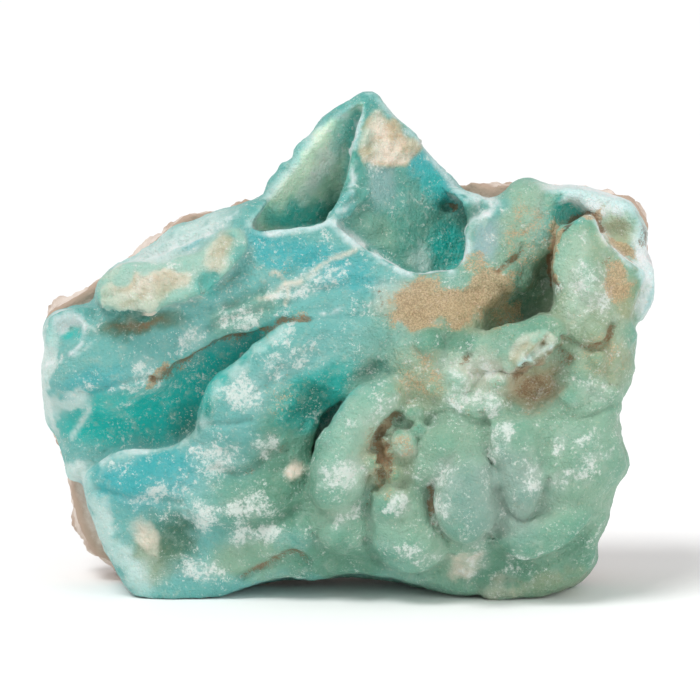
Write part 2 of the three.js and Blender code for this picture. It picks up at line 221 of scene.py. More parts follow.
@dataclass(frozen=True)
class Ridge:
    """A round ridge through points of x, y, z and radius, drawn as one smooth curve."""

    points: tuple[tuple[float, float, float, float], ...]
    steps: int = 4

    def nodes(self) -> np.ndarray:
        """The curve's points with their radii."""
        return curve(self.points, self.steps, closed=False)

    def box(self) -> tuple[np.ndarray, np.ndarray]:
        """Lowest and highest corner."""
        n = self.nodes()
        return (n[:, :3] - n[:, 3:]).min(axis=0), (n[:, :3] + n[:, 3:]).max(axis=0)

    def distance(self, x: np.ndarray, y: np.ndarray, z: np.ndarray) -> np.ndarray:
        """Signed distance to the ridge at points.

        Args:
            x: Picture places to the right in mm.
            y: Depths in mm.
            z: Picture heights in mm.

        Returns:
            One distance in mm for each point, negative inside.
        """
        best = np.full(np.broadcast(x, y, z).shape, 1e3)
        n = self.nodes()
        for a, b in zip(n[:-1], n[1:]):
            e = b - a
            dx, dy, dz = x - a[0], y - a[1], z - a[2]
            t = np.clip((dx * e[0] + dy * e[1] + dz * e[2]) / float(e[:3] @ e[:3]), 0.0, 1.0)
            away = np.sqrt((dx - e[0] * t) ** 2 + (dy - e[1] * t) ** 2 + (dz - e[2] * t) ** 2)
            np.minimum(best, away - a[3] - e[3] * t, out=best)
        return best


@dataclass(frozen=True)
class Sheet:
    """A mass with a closed outline of x, z points and a front that may be domed and may lean.

    The front lies at depth front in the middle, dome mm further back at the outline's ends, and leans back
    by lean mm for each mm to the right and up. The edges are rounded by rim.
    """

    outline: tuple[Point, ...]
    front: float
    rim: float
    dome: float = 0.0
    lean: Point = (0.0, 0.0)
    back: float = 60.0
    smoothing: int = 3

    STEP = 0.4  # mesh of the outline's distance map
    REACH = 9.0  # how far outside the outline the map goes

    def box(self) -> tuple[np.ndarray, np.ndarray]:
        """Lowest and highest corner."""
        p = np.array(self.outline, float)
        low, high = p.min(axis=0), p.max(axis=0)
        return np.array([low[0], -100.0, low[1]]), np.array([high[0], self.back, high[1]])

    def flat(self, x: np.ndarray, z: np.ndarray) -> np.ndarray:
        """Signed distance to the outline in the picture plane, read from a map.

        Args:
            x: Places to the right in mm.
            z: Heights in mm.

        Returns:
            One distance in mm for each place, negative inside.
        """
        low, high = (corner[[0, 2]] for corner in self.box())
        gx = np.arange(low[0] - self.REACH, high[0] + self.REACH, self.STEP)[:, None]
        gz = np.arange(low[1] - self.REACH, high[1] + self.REACH, self.STEP)[None, :]
        nearest = np.full((gx.size, gz.size), 1e9)
        inside = np.zeros(nearest.shape, bool)
        chain = curve(self.outline, self.smoothing, closed=True)
        for a, b in zip(chain, np.roll(chain, 1, axis=0)):
            e = b - a
            t = np.clip(((gx - a[0]) * e[0] + (gz - a[1]) * e[1]) / max(float(e @ e), 1e-9), 0.0, 1.0)
            np.minimum(nearest, (gx - a[0] - e[0] * t) ** 2 + (gz - a[1] - e[1] * t) ** 2, out=nearest)
            if e[1]:
                inside ^= ((a[1] > gz) != (b[1] > gz)) & (gx < e[0] * (gz - a[1]) / e[1] + a[0])
        table = np.where(inside, -1.0, 1.0) * np.sqrt(nearest)
        u = np.clip((x - gx[0, 0]) / self.STEP, 0, gx.size - 1.001)
        w = np.clip((z - gz[0, 0]) / self.STEP, 0, gz.size - 1.001)
        u, w = np.broadcast_arrays(u, w)
        i, k = u.astype(int), w.astype(int)
        fu, fw = u - i, w - k
        return ((table[i, k] * (1 - fu) + table[i + 1, k] * fu) * (1 - fw)
                + (table[i, k + 1] * (1 - fu) + table[i + 1, k + 1] * fu) * fw)

    def distance(self, x: np.ndarray, y: np.ndarray, z: np.ndarray) -> np.ndarray:
        """Signed distance to the sheet at points.

        Args:
            x: Picture places to the right in mm.
            y: Depths in mm.
            z: Picture heights in mm.

        Returns:
            One distance in mm for each point, negative inside.
        """
        low, high = self.box()
        middle, half = (low + high) / 2, (high - low) / 2
        dx, dz = x - middle[0], z - middle[2]
        front = (self.front + self.dome * ((dx / half[0]) ** 2 + (dz / half[2]) ** 2)
                 + self.lean[0] * dx + self.lean[1] * dz)
        return soft_max(self.flat(x, z), np.maximum(front - y, y - self.back), self.rim)


@dataclass(frozen=True)
class Block:
    """A convex block inside planes, each given by three of its points, round a point inside."""

    inside: Place
    faces: tuple[tuple[Place, Place, Place], ...]
    rim: float
    reach: float = 45.0

    def box(self) -> tuple[np.ndarray, np.ndarray]:
        """A generous box round the inner point."""
        return np.array(self.inside) - self.reach, np.array(self.inside) + self.reach

    def distance(self, x: np.ndarray, y: np.ndarray, z: np.ndarray) -> np.ndarray:
        """Signed distance to the block at points.

        Args:
            x: Picture places to the right in mm.
            y: Depths in mm.
            z: Picture heights in mm.

        Returns:
            One distance in mm for each point, negative inside.
        """
        heart = np.array(self.inside, float)
        result = None
        for face in self.faces:
            a, b, c = (np.array(p, float) for p in face)
            normal = np.cross(b - a, c - a)
            normal /= np.linalg.norm(normal)
            if (heart - a) @ normal > 0:
                normal = -normal
            plane = (x - a[0]) * normal[0] + (y - a[1]) * normal[1] + (z - a[2]) * normal[2]
            result = plane if result is None else soft_max(result, plane, self.rim)
        return result


@dataclass(frozen=True)
class Both:
    """What two shapes have in common."""

    first: "Shape"
    second: "Shape"
    rim: float

    def box(self) -> tuple[np.ndarray, np.ndarray]:
        """Lowest and highest corner."""
        (a, b), (c, d) = self.first.box(), self.second.box()
        return np.maximum(a, c), np.minimum(b, d)

    def distance(self, x: np.ndarray, y: np.ndarray, z: np.ndarray) -> np.ndarray:
        """Signed distance at the points x, y, z."""
        return soft_max(self.first.distance(x, y, z), self.second.distance(x, y, z), self.rim)


Shape = Lobe | Ridge | Sheet | Block | Both


class Action(Enum):
    """What a step of the sculpture does with its shape."""

    GROW = 1
    HOLLOW = -1


@dataclass(frozen=True)
class Step:
    """One shape that is grown or hollowed with a soft seam of width blend."""

    action: Action
    shape: Shape
    blend: float


def lobe(x: float, y: float, z: float, rx: float, ry: float, rz: float, turn: float = 0.0) -> Lobe:
    """A lobe from its plain numbers."""
    return Lobe((x, y, z), (rx, ry, rz), turn)


def ridge(*points: tuple[float, float, float, float]) -> Ridge:
    """A ridge through x, y, z, radius points."""
    return Ridge(points)


def grow(blend: float, *shapes: Shape) -> list[Step]:
    """Steps that add the shapes."""
    return [Step(Action.GROW, shape, blend) for shape in shapes]


def hollow(blend: float, *shapes: Shape) -> list[Step]:
    """Steps that take the shapes away."""
    return [Step(Action.HOLLOW, shape, blend) for shape in shapes]


class Sculpture:
    """A box of voxels that holds the distance to a surface, negative inside.

    Shapes are given in the picture plane and depth, so that they are seen where the photograph has them.
    """

    MARGIN = 3.0  # how far past a shape's box its step still counts

    def __init__(self, low: Place, high: Place, cell: float) -> None:
        """Makes an empty box.

        Args:
            low: Lowest corner in mm.
            high: Highest corner in mm.
            cell: Edge of a voxel in mm.
        """
        self.low = np.array(low, float)
        self.cell = cell
        self.axes = [np.arange(low[i], high[i] + cell, cell) for i in range(3)]
        self.values = np.full([len(a) for a in self.axes], 1e3)

    def everywhere(self) -> tuple[np.ndarray, np.ndarray, np.ndarray]:
        """The open grid of the box."""
        x, y, z = self.axes
        return x[:, None, None], y[None, :, None], z[None, None, :]

    def cut(self, shape: Shape, margin: float) -> tuple[slice, slice, slice]:
        """The part of the box that a shape can reach.

        Args:
            shape: The shape.
            margin: How much further its step reaches, in mm.

        Returns:
            One slice for each axis.
        """
        low, high = shape.box()
        depths = np.clip([low[1] - margin, high[1] + margin], self.axes[1][0], self.axes[1][-1])
        tops = [PICTURE.height(y, up) for y in depths for up in (low[2] - margin, high[2] + margin)]
        sides = [x / PICTURE.scale(y) for y in depths for x in (low[0] - margin, high[0] + margin)]
        ranges = ((min(sides), max(sides)), tuple(depths), (min(tops), max(tops)))
        return tuple(slice(*np.searchsorted(axis, reach)) for axis, reach in zip(self.axes, ranges))

    def apply(self, steps: list[Step]) -> None:
        """Carries out steps in order.

        Args:
            steps: What to grow and hollow.
        """
        for step in steps:
            cut = self.cut(step.shape, step.blend + self.MARGIN)
            if any(part.start >= part.stop for part in cut):
                continue
            x, y, z = (axis[part] for axis, part in zip(self.axes, cut))
            x, y, z = x[:, None, None], y[None, :, None], z[None, None, :]
            other = step.shape.distance(PICTURE.across(x, y), y, PICTURE.up(y, z))
            if step.action is Action.GROW:
                self.values[cut] = soft_min(self.values[cut], other, step.blend)
            else:
                self.values[cut] = soft_max(self.values[cut], -other, step.blend)

    def blurred(self, radius: float, limit: float) -> np.ndarray:
        """The distances held within a limit and averaged over a cube, for masks of crests and hollows.

        Args:
            radius: Half the cube's edge in mm.
            limit: Largest distance that counts, in mm.

        Returns:
            One value for each voxel.
        """
        out = np.clip(self.values, -limit, limit)
        n = max(1, round(radius / self.cell))
        for axis in range(3):
            padded = np.concatenate([np.repeat(out.take([0], axis), n + 1, axis), out,
                                     np.repeat(out.take([-1], axis), n, axis)], axis)
            sums = padded.cumsum(axis)
            size = out.shape[axis]
            out = (sums.take(range(2 * n + 1, 2 * n + 1 + size), axis)
                   - sums.take(range(0, size), axis)) / (2 * n + 1)
        return out

    def sample(self, values: np.ndarray, points: np.ndarray) -> np.ndarray:
        """Values at points, by trilinear interpolation.

        Args:
            values: One value for each voxel.
            points: Places in mm.

        Returns:
            One value for each point.
        """
        where = (points - self.low) / self.cell
        base = np.clip(np.floor(where).astype(int), 0, np.array(values.shape) - 2)
        t = np.clip(where - base, 0.0, 1.0)
        total = np.zeros(len(points))
        for corner in range(8):
            bits = np.array([corner & 1, corner >> 1 & 1, corner >> 2 & 1])
            weight = np.prod(np.where(bits, t, 1 - t), axis=1)
            i, j, k = (base + bits).T
            total += weight * values[i, j, k]
        return total

    def polygons(self) -> tuple[np.ndarray, np.ndarray]:
        """The largest connected piece of the surface.

        Returns:
            Vertices in mm, and quads that face outward.
        """
        grid = openvdb.FloatGrid(3.0)
        grid.copyFromArray(np.clip(self.values, -3.0, 3.0).astype(np.float32))
        points, quads = grid.convertToQuads(isovalue=0.0)
        points = points.astype(float) * self.cell + self.low
        quads = keep_largest(len(points), quads.astype(int))
        used = np.unique(quads)
        renumber = np.full(len(points), -1)
        renumber[used] = np.arange(len(used))
        points, quads = points[used], renumber[quads]
        a, b, c, d = (points[quads[:, i]] for i in range(4))
        volume = np.sum(a * (np.cross(b, c) + np.cross(c, d)))
        return points, quads if volume > 0 else quads[:, ::-1]


def keep_largest(count: int, quads: np.ndarray) -> np.ndarray:
    """The quads of the largest connected sheet.

    Args:
        count: Number of vertices.
        quads: Four vertex numbers for each face.

    Returns:
        The faces that are left.
    """
    label = np.arange(count)
    while True:
        low = label[quads].min(axis=1)
        new = label.copy()
        for i in range(4):
            np.minimum.at(new, quads[:, i], low)
        new = new[new]
        if (new == label).all():
            break
        label = new
    names, sizes = np.unique(label[quads[:, 0]], return_counts=True)
    return quads[label[quads[:, 0]] == names[sizes.argmax()]]


def texture(points: np.ndarray, size: float, kind: str, seed: float = 0.0) -> np.ndarray:
    """Noise at points.

    Args:
        points: Places in mm.
        size: Rough size of a feature in mm.
        kind: cells for round bumps, 0 at their edges to 1 in the middle; waves for fractal noise round 0.
        seed: Shifts the pattern.

    Returns:
        One value for each point.
    """
    shift = Vector((seed, 2 * seed, -seed))
    if kind == "cells":
        values = (1.0 - noise.voronoi(Vector(p) / size + shift)[0][0] for p in points)
    else:
        values = (noise.fractal(Vector(p) / size + shift, 0.9, 2.1, 4) for p in points)
    return np.fromiter(values, float, len(points))


# Marks that are laid on in the picture plane

def before(depth: float) -> Span:
    """All depths in front of one."""
    return -FAR, depth


def behind(depth: float) -> Span:
    """All depths behind one."""
    return depth, FAR


@dataclass(frozen=True)
class Spot:
    """A soft elliptic spot at x, z, turned like a lobe, on surfaces between two depths."""

    x: float
    z: float
    rx: float
    rz: float
    turn: float = 0.0
    amount: float = 1.0
    edge: float = 0.45
    depths: Span = ANYWHERE

    def radius(self, x: np.ndarray, z: np.ndarray) -> np.ndarray:
        """Distance from the middle, as a share of the ellipse.

        Args:
            x: Places to the right in mm.
            z: Heights in mm.

        Returns:
            0 in the middle and 1 on the ellipse.
        """
        cos, sin = math.cos(math.radians(self.turn)), math.sin(math.radians(self.turn))
        u = ((x - self.x) * cos + (z - self.z) * sin) / self.rx
        w = ((z - self.z) * cos - (x - self.x) * sin) / self.rz
        return np.hypot(u, w)

    def cover(self, x: np.ndarray, z: np.ndarray) -> np.ndarray:
        """How much the spot covers each place, whatever its depth."""
        return self.amount * smooth(self.radius(x, z), 1.0 + self.edge, 1.0 - self.edge)

    def dome(self, x: np.ndarray, z: np.ndarray) -> np.ndarray:
        """A round bump of height amount."""
        return self.amount * np.sqrt(np.maximum(1.0 - self.radius(x, z) ** 2, 0.0))


@dataclass(frozen=True)
class Stroke:
    """A soft line through x, z points; depth is how far it cuts in, and dirt how brown it is."""

    points: tuple[Point, ...]
    width: float
    depth: float = 0.0
    dirt: float = 0.0
    amount: float = 1.0
    depths: Span = ANYWHERE

    def cover(self, x: np.ndarray, z: np.ndarray) -> np.ndarray:
        """How much the line covers each place, falling to 0 at its width.

        Args:
            x: Places to the right in mm.
            z: Heights in mm.

        Returns:
            One share for each place.
        """
        nearest = np.full(len(x), 1e9)
        chain = curve(self.points, 3, closed=False)
        for a, b in zip(chain[:-1], chain[1:]):
            e = b - a
            t = np.clip(((x - a[0]) * e[0] + (z - a[1]) * e[1]) / float(e @ e), 0.0, 1.0)
            np.minimum(nearest, np.hypot(x - a[0] - e[0] * t, z - a[1] - e[1] * t), out=nearest)
        return self.amount * smooth(nearest, self.width, 0.0)


@dataclass(frozen=True)
class Patch:
    """A patch with an outline of x, z points and an edge that is soft over a few tenths of a mm."""

    outline: tuple[Point, ...]
    amount: float = 1.0
    edge: float = 0.5
    depths: Span = ANYWHERE

    def cover(self, x: np.ndarray, z: np.ndarray) -> np.ndarray:
        """How much the patch covers each place."""
        return self.amount * smooth(Sheet(self.outline, 0.0, 1.0).flat(x, z), self.edge, -self.edge)


Mark = Spot | Stroke | Patch


# Seam between crust and rock, as in the solids

@dataclass(frozen=True)
class Seam:
    """The uneven surface where the crust meets the host rock, which steps back behind the pockets."""

    depth: float = 5.0
    step: float = 12.0
    gap: float = 0.3

    def at(self, x: np.ndarray, z: np.ndarray) -> np.ndarray:
        """Depth of the seam in mm at x and z."""
        climb = smooth(z, 58.0, 78.0) * smooth(30.0 - np.abs(x - 2.0), 0.0, 12.0)
        return self.depth + self.step * climb + 1.5 * np.sin(0.11 * x) * np.cos(0.13 * z)


# The crust

CRUST_OUTLINE = (
    (-39, -1), (-41, 1.6), (-44, 4.5), (-46, 8), (-49, 14), (-51, 20), (-52, 23), (-55, 24.2),
    (-56, 27.5), (-57.4, 32.5), (-59.4, 36), (-59.6, 42), (-60, 45), (-58.8, 47.5), (-59.3, 53),
    (-58.6, 55.4), (-56, 56.9), (-51.5, 57.6), (-49.7, 59.5), (-48.4, 62.6), (-45.4, 65.7), (-42, 67.6),
    (-37.5, 70.8), (-33.8, 73.6), (-30.5, 74.5), (-26, 76.2), (-22, 76.4), (-18, 77.4), (-8, 77), (0, 79),
    (10, 79), (20, 80.6), (24, 79.2), (28, 78.2), (32, 80), (38.5, 81), (44, 80.9), (50, 79.3),
    (54, 77.8), (56, 75.4), (57.3, 72), (57.2, 68), (59.8, 63.6), (59.4, 59.8), (57.4, 56.6), (55.4, 54),
    (55.7, 52), (54.8, 47), (54.2, 43), (51.2, 38.4), (52.2, 32.7), (54, 26.7), (51, 22.6), (50.2, 16.4),
    (48.2, 11.6), (48, 8), (45, 4.2), (38, 0.8), (30, -1), (26.6, 0.9), (21, 1.2), (15.6, 2.4), (8, 4.4),
    (0, 5.2), (-9, 4.9), (-16, 3.8), (-23, 2.5), (-30, 1.5), (-35, 0),
)

BASIN_RIM = ((-3.4, 74.6), (-1.6, 72.5), (1.2, 70.3), (3.4, 68.7), (5.8, 67.5), (9.5, 65.3), (13.3, 64.2),
             (17, 64.5), (20.1, 65), (22, 66.8), (22.8, 69.6), (22.3, 72.4), (24, 74), (26.5, 75.8))
POCKET_FOOT = ((-3.7, 74.6), (-6, 73.6), (-9.4, 73), (-12, 72.7), (-15, 72.2), (-17.4, 72.2))
POCKET_LEFT = ((-19, 73), (-18.8, 74.4), (-16.8, 76.9), (-15.2, 79.6), (-14, 82), (-11.6, 84.6),
               (-10, 87.2), (-8.1, 89.5), (-6.5, 91.8), (-4.1, 93.7), (-1.6, 94.7), (0.3, 96))
SEPTUM = ((2.2, 96.7), (2.4, 95), (1.7, 93.5), (1.2, 91), (0.9, 87.9), (0.6, 84.5), (0.4, 81.5),
          (0.3, 79.3), (-0.5, 77.5), (-2, 76))
POCKET = SEPTUM + POCKET_FOOT + POCKET_LEFT
LUMP = ((-49.4, 60), (-48.6, 62.7), (-46.3, 64.4), (-44.1, 65.9), (-41.5, 66.4), (-36.6, 66.2),
        (-33.8, 67.3), (-29.5, 68.4), (-26.6, 71), (-24.3, 72.4), (-21.8, 73), (-20.1, 71), (-19.8, 69),
        (-22.3, 66), (-24.3, 63.3), (-28.6, 59.6), (-33.8, 58.4), (-38.6, 56.7), (-40.9, 56.2),
        (-42.6, 57.1), (-48.1, 57.7))


@dataclass
class Crust:
    """The blue-green crust: folds at the left, grape-like lobes at the right, a hollow horn on top."""

    cell: float = 0.63
    low: Place = (-64, -32, -3)
    high: Place = (64, 22, 103)
    crest_blur: Span = (1.5, 2.4)  # radius and limit in mm of the mask for creases and ridges; creases get painted shade
    depth_blur: Span = (5.0, 5.0)  # the same for wide hollows, which get painted shade
    seam: Seam = field(default_factory=Seam)

    def ground(self) -> list[Step]:
        """The slab that all else stands on, and the broad ledge below the horn.

        Returns:
            The steps in order.
        """
        return [
            *grow(1, Sheet(CRUST_OUTLINE, -5.0, 7.0)),
            *grow(4, Sheet(((-47, 60), (-38, 66), (-28, 72), (-19, 77), (-8, 79), (0, 80), (8, 79),
                            (18, 78), (27, 76), (28, 62), (10, 54), (-12, 55), (-30, 54), (-46, 54)),
                           -8.5, 4.0, lean=(0.0, 0.28))),
        ]

    def left_side(self) -> list[Step]:
        """The bulge, the deep channel and the lipped fold below it.

        Returns:
            The steps in order.
        """
        bulge = Sheet(((-54, 51), (-48, 54), (-43, 53.4), (-38, 55), (-33, 59), (-26, 62.5), (-16, 62.5),
                       (-8, 60), (-8, 56.5), (-12, 55.6), (-15, 54), (-18, 52.5), (-24.3, 51.5),
                       (-28.8, 48.8), (-31.5, 47.2), (-34.5, 46), (-37, 43), (-43, 42), (-52, 44)),
                      -11.5, 3.0, dome=1.5, lean=(-0.03, 0.05))
        fold = Sheet(((-52, 22), (-51.6, 25.6), (-48.5, 27.6), (-46.4, 29), (-43.5, 29.9), (-37.5, 30.1),
                      (-34.5, 30.7), (-32.6, 31.8), (-30.3, 33.9), (-28.8, 37), (-27, 40.5),
                      (-25.2, 43.1), (-22.5, 45.8), (-19.2, 49), (-16.3, 51.2), (-13.3, 53.9), (-9, 55.4),
                      (-2, 56), (6, 55), (10, 51), (9, 45), (1, 41), (-6, 36), (-8, 28), (-6, 18),
                      (-4, 8), (-16, 4), (-26, 0.6), (-35, -2), (-40, -2), (-46, 6), (-50, 15)),
                     -13.5, 3.2, dome=1.0, lean=(-0.04, -0.02))
        return [
            *grow(3, lobe(-47, -3, 46, 13, 9.5, 10.5, 10), bulge),
            *hollow(3, lobe(-39, -15.5, 35.5, 13, 8.0, 6.0, 20)),
            *hollow(2, ridge((-50, -14, 33, 3), (-40, -12.5, 34, 4.4), (-32, -11.5, 37.5, 4.6),
                             (-26, -12.5, 44, 3.6), (-20, -13.5, 49.4, 2.4), (-13, -14.5, 54.4, 1.2))),
            *grow(1.2, fold),
            *grow(3, lobe(-20, -10, 37, 8.5, 6.5, 9.5, 50), lobe(-13, -9, 49, 10, 6, 4, 35),
                  lobe(-22, -9, 18, 13, 8, 6.5, 10), lobe(-40, -8, 23, 9, 6.5, 5, 20),
                  lobe(-12, -9, 12, 8, 8, 6)),
            *hollow(3, lobe(-4, -20, 40.5, 11, 7, 4.5, 40)),
            *hollow(1.2, ridge((7.5, -16, 46, 1.6), (4.5, -14, 45.2, 2.0), (0, -14.5, 42.5, 1.6))),
            *hollow(2.5, lobe(-33.5, -16, 12.5, 4.6, 5.5, 5.2, 30)),
        ]

    def lower_flange(self) -> list[Step]:
        """The thin rim below the cluster.

        Returns:
            The steps in order.
        """
        return grow(2, Sheet(((-10, 4.8), (0, 5.2), (8, 4.4), (15.6, 2.4), (21, 1.2), (26.6, 0.9), (30, 0),
                              (38, 0.8), (45, 4.2), (48, 8), (48.2, 11.6), (50.2, 16.4), (50, 22), (44, 24),
                              (20, 18), (-8, 16)), -12.5, 2.5, lean=(-0.02, -0.05)))

    def cluster(self) -> list[Step]:
        """The grape-like lobes, from the deepest to the ones that hang in front.

        Returns:
            The steps in order.
        """
        ground = Sheet(((6, 47), (4, 40), (-3, 36), (-7, 26), (-7, 14), (2, 9), (18, 8), (34, 9), (46, 13),
                        (51, 24), (51, 37), (54, 46), (52, 53), (42, 54), (30, 52), (16, 55)),
                       -17.8, 6.0, dome=1.5, lean=(-0.02, 0.06))
        below_finger = Sheet(((-6.6, 20), (-7, 14), (-4.6, 10.4), (-0.5, 9), (3, 10.2), (4.2, 14),
                              (3.5, 18.5), (0, 21)), -19.0, 3.4, dome=2.0)
        lower_lobe = Sheet(((26.6, 12), (30.4, 14.4), (34.6, 16.4), (41, 19), (46.5, 21), (49.6, 20.6),
                            (49.5, 16.7), (46.5, 13.2), (43, 9.9), (38.9, 7.8), (34.6, 6.6), (31.2, 7.7),
                            (28.3, 9.8)), -22.8, 4.8, dome=3.2, lean=(0.0, 0.06))
        left_lobe = Sheet(((5, 22), (8.4, 24), (13.9, 23.4), (15.6, 19.2), (16.4, 15), (19.3, 12),
                           (19.8, 9), (16.5, 5.7), (11.4, 5), (7.2, 6.4), (5, 9), (3.4, 12), (4.2, 16.5)),
                          -20.5, 3.6, dome=2.0)
        right_lobe = Sheet(((31, 34), (37, 37.4), (45, 37), (51, 37.6), (52.2, 32.7), (54, 26.8),
                            (50.6, 21.6), (45.2, 18.6), (40, 17.8), (34, 18.6), (31, 26)), -22.3, 4.4,
                           dome=1.8, lean=(0.08, -0.04))
        arch = Sheet(((10, 24.3), (9.7, 26.8), (12.2, 30.2), (15.6, 33.6), (19.4, 35.6), (23.6, 35.2),
                      (27.4, 34.6), (28.4, 31), (28.4, 24), (20, 19), (16, 22.6), (13, 21.6)),
                     -22.2, 4.4, dome=1.6, lean=(0.03, -0.08))
        finger = Sheet(((6.7, 44.1), (2.9, 42.3), (-0.9, 39.1), (-3.2, 35.2), (-5.1, 31.9), (-6.8, 27.2),
                        (-8, 23), (-7.2, 19.9), (-4.7, 18.2), (-1.3, 18.7), (2.1, 20.8), (3.6, 24.3),
                        (3.2, 27.6), (4, 30.6), (5.8, 33.4), (8.9, 35.4), (10.4, 38.6), (9.7, 42),
                        (8.4, 43.7)), -21.5, 3.2, dome=1.4, lean=(0.03, 0.05))
        return [
            *grow(3, ground),
            *grow(1.0, below_finger, lower_lobe, left_lobe, lobe(8.4, -15, 19, 5, 7, 5),
                  lobe(12, -15, 11.5, 7.5, 6.5, 6)),
            *grow(2.4, right_lobe, lobe(44, -15, 29, 8, 8, 7.5)),
            *grow(0.8, arch, lobe(19, -16, 30, 7, 7.5, 5, -10)),
            *grow(0.8, lobe(29.2, -15.4, 20.5, 3.2, 4.8, 6.5)),
            *grow(2, lobe(25, -14.8, 37.2, 9, 6.5, 3.2), lobe(45, -14, 38, 8, 6, 3),
                  lobe(33.5, -15.2, 16.4, 5, 6, 3)),
            *grow(2, lobe(8.5, -14.6, 30, 4.5, 5, 6)),
            *grow(0.8, lobe(10.3, -19.8, 31, 2.7, 3, 2.8), lobe(4, -18.8, 27.2, 2.2, 2.8, 2.4),
                  lobe(13.6, -19.6, 33.8, 1.8, 2.4, 1.6), lobe(8.6, -18.6, 24.8, 2.0, 2.8, 2.0),
                  lobe(12.4, -17.4, 36.8, 2.6, 3, 2.2)),
            *grow(0.6, finger, ridge((7, -17, 40, 4.2), (3, -17.5, 37.5, 4.6), (-0.5, -18, 32, 4.6),
                                     (-2.6, -18, 26.5, 5), (-3, -17.5, 22.6, 5))),
        ]

    def thumbs(self) -> list[Step]:
        """The two lobes that hang in front of the cluster.

        Returns:
            The steps in order.
        """
        second = Sheet(((26.8, 35.2), (30.8, 36.2), (36, 36), (38.6, 31.4), (39, 26.4), (38.6, 21.7),
                        (37.2, 18.2), (33.8, 16), (30.8, 17.4), (29.2, 21.3), (28.6, 25.9), (26.9, 29.3),
                        (26.5, 33)), -24.2, 3.6, dome=1.6, lean=(0.12, -0.10))
        first = Sheet(((17, 23.4), (18.4, 26.8), (21.5, 29.2), (25.3, 29.2), (27.9, 26.6), (28.9, 21.7),
                       (29, 17.5), (27.3, 13.8), (23.5, 11.4), (19.8, 12.3), (17.3, 15.3), (16.4, 19.2)),
                      -26.0, 3.8, dome=2.0, lean=(0.0, 0.05))
        return [
            *grow(0.9, second, ridge((32, -18, 33, 4), (33.6, -18.8, 26, 4.4), (33.8, -19, 21.4, 4.6))),
            *grow(0.8, lobe(29.2, -17.6, 23, 2.6, 5.0, 6.6)),
            *grow(0.5, first, ridge((22.5, -19, 25, 5), (23, -20, 21, 5.6), (23.2, -20, 17.6, 5.6))),
        ]

    def knobs(self) -> list[Step]:
        """Knobs over the cluster and down the right edge.

        Returns:
            The steps in order.
        """
        return [
            *grow(2, lobe(19.5, -13, 39.5, 5.5, 6.5, 4.6), lobe(27, -13.5, 38.6, 4.6, 6.5, 4.2),
                  lobe(22.5, -12, 48, 5.5, 6.5, 4.6), lobe(13.5, -12, 45.5, 6, 6.5, 8),
                  lobe(45.5, -12.5, 43.5, 6.5, 7, 6), lobe(51, -9.5, 46, 4.5, 8, 6.5),
                  lobe(46.5, -12.5, 51.5, 5, 6, 4.4), lobe(19, -9, 55, 7, 6.5, 4.6)),
            *grow(0.8, lobe(28.8, -14.5, 42.8, 3.4, 6, 3.0), lobe(20.6, -15.5, 43.4, 3.6, 5, 3.2),
                  lobe(24.6, -14.6, 50.4, 3.4, 5, 2.8), lobe(15.4, -15.5, 50.2, 3.2, 4, 3.0),
                  lobe(16.4, -15, 41.6, 3.2, 5, 3.0), lobe(43, -15.4, 39.4, 3.4, 5, 2.8),
                  lobe(50.2, -13.4, 40.6, 3.0, 5, 2.6), lobe(47.8, -15, 47.2, 2.8, 5, 2.6),
                  lobe(52.6, -10.6, 51.4, 2.4, 5, 2.8)),
            *hollow(2, lobe(35.6, -21.6, 42.6, 4.6, 6.5, 3.4, 20)),
        ]

    def upper_right(self) -> list[Step]:
        """The big lobe, the curtain beside it, the deep slot between them and the broken stub.

        Returns:
            The steps in order.
        """
        slope = Sheet(((2, 61), (8, 66.5), (14, 65), (21, 66), (23, 71), (29, 69), (34, 60), (31, 53),
                       (20, 50), (9, 50), (4, 55)), -11.5, 4.0, lean=(0.04, 0.38))
        big = Sheet(((20, 70), (24.5, 74.8), (27, 76.8), (29.8, 79.6), (31.2, 81.7), (33.8, 82.7),
                     (36.4, 82.3), (38, 80.8), (38.8, 79.4), (39.4, 75), (39.8, 71), (39, 66), (36, 60),
                     (30, 55), (24, 58), (20, 64)), -7.0, 4.5, dome=1.0, lean=(0.0, 0.34))
        corner = Sheet(((37, 78), (39.5, 80.2), (44, 80.6), (50, 79.3), (54, 77.8), (56, 75.4),
                        (57.3, 72), (57.2, 68), (59.8, 63.6), (59.4, 59.8), (55, 54), (46, 54), (38, 60)),
                       -7.5, 2.2, lean=(0.05, 0.12))
        curtain = Sheet(((40.4, 72.6), (41.8, 73.8), (45.5, 75.3), (47.6, 74.9), (49, 72), (50.7, 69.7),
                         (52.7, 67.7), (57, 64.7), (57.3, 63.2), (56.2, 60.4), (54.7, 55.4), (55.4, 51),
                         (46, 47), (41, 50), (39.8, 54), (39, 56.4), (39.7, 59), (39.3, 63), (39.5, 67),
                         (39.9, 70)), -17.0, 1.8, dome=1.6, lean=(0.10, 0.10))
        valley = Sheet(((34, 58.5), (30.6, 59.6), (27.6, 58.2), (25.6, 55.5), (26.4, 52.4), (28.7, 50.6),
                        (30.6, 52), (33, 54), (36, 56)), -60.0, 3.5, back=-6.0)
        stub = Sheet(((29, 48.6), (29.8, 51.4), (31.6, 53.2), (33.5, 54.6), (37.2, 56.3), (40.4, 55.7),
                      (42.1, 54.3), (42.4, 52), (41, 50.6), (38.7, 48.9), (35.2, 46.3), (32.4, 45.2),
                      (30.4, 46)), -22.5, 1.6, dome=1.0, lean=(0.02, 0.22))
